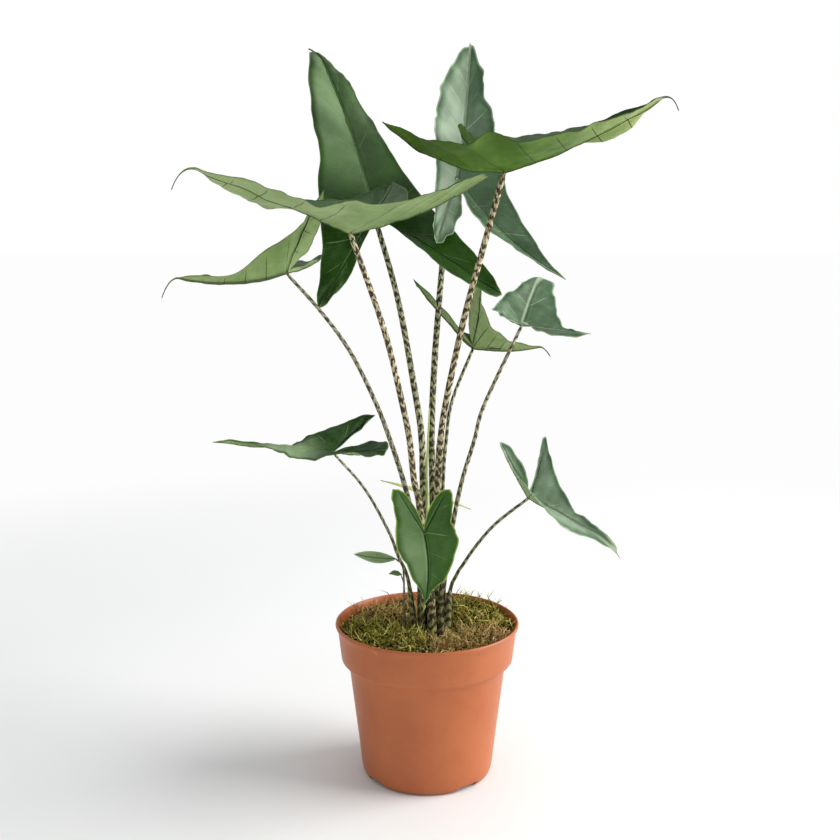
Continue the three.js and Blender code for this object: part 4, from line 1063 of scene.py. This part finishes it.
def moss_family(kind, sector, height, draw):
    """The strands of one family on a cushion, kept inside the pot's wall up to its lip. Returns points,
    faces and the tone and tip values."""
    family = MOSS_STRANDS[kind]
    count, rings = family[:2]
    angle = draw.uniform(sector[0], sector[1], count)
    share = draw.uniform(0.93, 1.0, count) if kind == "wisps" else draw.uniform(-0.12, 1.0, count)
    roots = moss_place(angle, share, sector, height)
    roots[:, 2] -= draw.uniform(0.4, 2.2, count)
    lean = draw.normal(scale=0.75, size=(count, 3))
    lean[:, 2] = np.abs(lean[:, 2]) * 0.6 + (1.3 if kind == "wisps" else 0.35)
    outward = unit(roots * [1, 1, 0])
    near_wall = smoothstep(0.82, 1.0, share)[:, None]
    near_hollow = 1 - smoothstep(0.0, 0.15, share)[:, None]
    pull = 0.5 if kind == "wisps" else -0.9
    directions = unit(lean + pull * near_wall * outward - 0.3 * near_hollow * outward)
    points, faces, tip = strands(roots, directions, family, draw)
    radius = np.linalg.norm(points[:, :2], axis=1)
    limit = 79.8 + 0.1 * np.clip(points[:, 2] - 127, 0, 10) + 14 * smoothstep(145.6, 149, points[:, 2])
    points[:, :2] *= np.minimum(1.0, limit / radius)[:, None]
    tones = draw.uniform(1.25, 1.4, count) if kind == "twigs" else draw.uniform(0, 1, count)
    return points, faces, np.repeat(tones, rings * 3), tip


def moss_cushion(cushion, seed):
    """One cushion: a lumpy closed pad over its sector with thousands of short strands on it, and fewer
    long curly ones, dry twigs and stray wisps at the wall."""
    draw = np.random.default_rng(seed)
    sector, height = cushion["sector"], cushion["height"]
    rows, columns = 90, 60
    degrees = np.linspace(sector[0] + 0.3, sector[1] - 0.3, rows)[:, None] * np.ones(columns)
    out = np.linspace(0, 1, columns)[None, :] * np.ones((rows, 1))
    top = moss_place(degrees, out, sector, height)
    top[..., 2] += 1.2 * ripples(top, 6.0, seed, 4) - 1.8
    under = top.copy()
    under[..., 2] = MOSS_BOTTOM
    pad, pad_faces = two_skins(
        top.reshape(-1, 3), under.reshape(-1, 3), grid_triangles(rows, columns, flip=True))
    pieces = [(pad, pad_faces, np.full(len(pad), 0.25), np.full(len(pad), 0.3))]
    pieces += [moss_family(kind, sector, height, draw) for kind in MOSS_STRANDS]
    starts = np.cumsum([0] + [len(piece[0]) for piece in pieces])
    faces = np.concatenate([piece[1] + start for piece, start in zip(pieces, starts)])
    points, tones, tips = (np.concatenate([piece[k] for piece in pieces]) for k in (0, 2, 3))
    return points, faces, {"strand_tone": tones, "strand_tip": tips}


def make_moss():
    """The four cushions, two of fresh green moss and two of older brown moss."""
    kinds = {
        "green": moss_material("moss_green", tone(134, 108, 46), tone(166, 166, 56), tone(244, 238, 138)),
        "brown": moss_material("moss_brown", tone(186, 136, 78), tone(186, 168, 82), tone(252, 226, 172)),
    }
    for seed, (node, cushion) in enumerate(MOSS.items()):
        points, faces, values = moss_cushion(cushion, 40 + seed)
        kind = cushion["kind"]
        add_piece(node + "_strands", points, faces, kinds[kind], node, values, sharp=None)


# Floor, light and camera

def make_stage():
    """A wide pale floor, which isn't part of the plant. It glows white away from the pot, so that it
    runs into the surrounding without a horizon."""
    mesh = bpy.data.meshes.new("floor")
    reach = 30.0
    mesh.from_pydata([(-reach, -reach, 0), (reach, -reach, 0), (reach, reach, 0), (-reach, reach, 0)], [],
                     [(0, 1, 2, 3)])
    floor = new_object("floor", mesh)
    write = Finish("floor_paint")
    value = write.noise(3.0, 2.0, write.place)
    paint = write.blend(value, (0.86, 0.86, 0.86, 1), (0.9, 0.9, 0.9, 1))
    far = write.ramp(write.vector("LENGTH", write.place)["Value"], 0.42, 1.5)
    write.coat(write.blend(far, paint, (0, 0, 0, 1)), value, 0.1, 0.6, 0.0)
    glow = write.blend(far, (0, 0, 0, 1), (0.985, 0.985, 0.985, 1))
    write.feed(write.surface.inputs["Emission Color"], glow)
    write.surface.inputs["Emission Strength"].default_value = 1.0
    mesh.materials.append(write.material)


def area_light(name, place, target, size, power, colour=(1, 1, 1)):
    """A square soft light at a place, facing a target, in metres."""
    data = bpy.data.lights.new(name, "AREA")
    data.shape, data.size, data.energy, data.color = "SQUARE", size, power, colour
    light = new_object(name, data)
    light.location = place
    away = np.asarray(target, float) - np.asarray(place, float)
    light.rotation_euler = (
        math.atan2(math.hypot(away[0], away[1]), -away[2]), 0.0, math.atan2(away[0], -away[1]) + math.pi)


def make_lights():
    """A large key light from the right, a weak fill from the front left, and a white surrounding."""
    area_light("key", (2.1, 0.0, 1.2), (0, 0, 0.25), 1.9, 80, (1.0, 0.985, 0.965))
    area_light("fill", (-0.9, -2.2, 1.4), (0, 0, 0.3), 1.8, 5)
    area_light("top", (0.2, 0.3, 2.4), (0, 0, 0.4), 1.8, 12)
    world = bpy.data.worlds.new("studio")
    world.use_nodes = True
    world.node_tree.nodes.clear()
    write = Shader(world.node_tree)
    seen = write.add("ShaderNodeLightPath").outputs["Is Camera Ray"]
    white = write.add("ShaderNodeBackground", {"Color": (1, 1, 1, 1), "Strength": 1.0})
    soft = write.add("ShaderNodeBackground", {"Color": (0.95, 0.985, 1.0, 1), "Strength": 0.47})
    both = write.add("ShaderNodeMixShader", {0: seen, 1: soft.outputs[0], 2: white.outputs[0]})
    output = write.add("ShaderNodeOutputWorld")
    write.feed(output.inputs["Surface"], both.outputs[0])
    bpy.context.scene.world = world


CAMERA_PLACE = (-0.0066, -0.9987, 0.4987)  # metres
CAMERA_TILT = 9.38                         # degrees down from level


def make_camera():
    """A camera in front of the plant at the height of its upper leaves, tipped down a little."""
    data = bpy.data.cameras.new("camera")
    data.lens, data.sensor_width = 48.0, 36.0
    camera = new_object("camera", data)
    camera.location = CAMERA_PLACE
    camera.rotation_euler = (math.radians(90 - CAMERA_TILT), 0, 0)
    bpy.context.scene.camera = camera
    bpy.context.scene.view_settings.view_transform = "Standard"
    bpy.context.scene.view_settings.look = "None"


make_camera()
make_lights()
make_stage()
make_pot()
make_soil()
make_moss()
make_stalks()
make_blades()
make_narrow_blades()
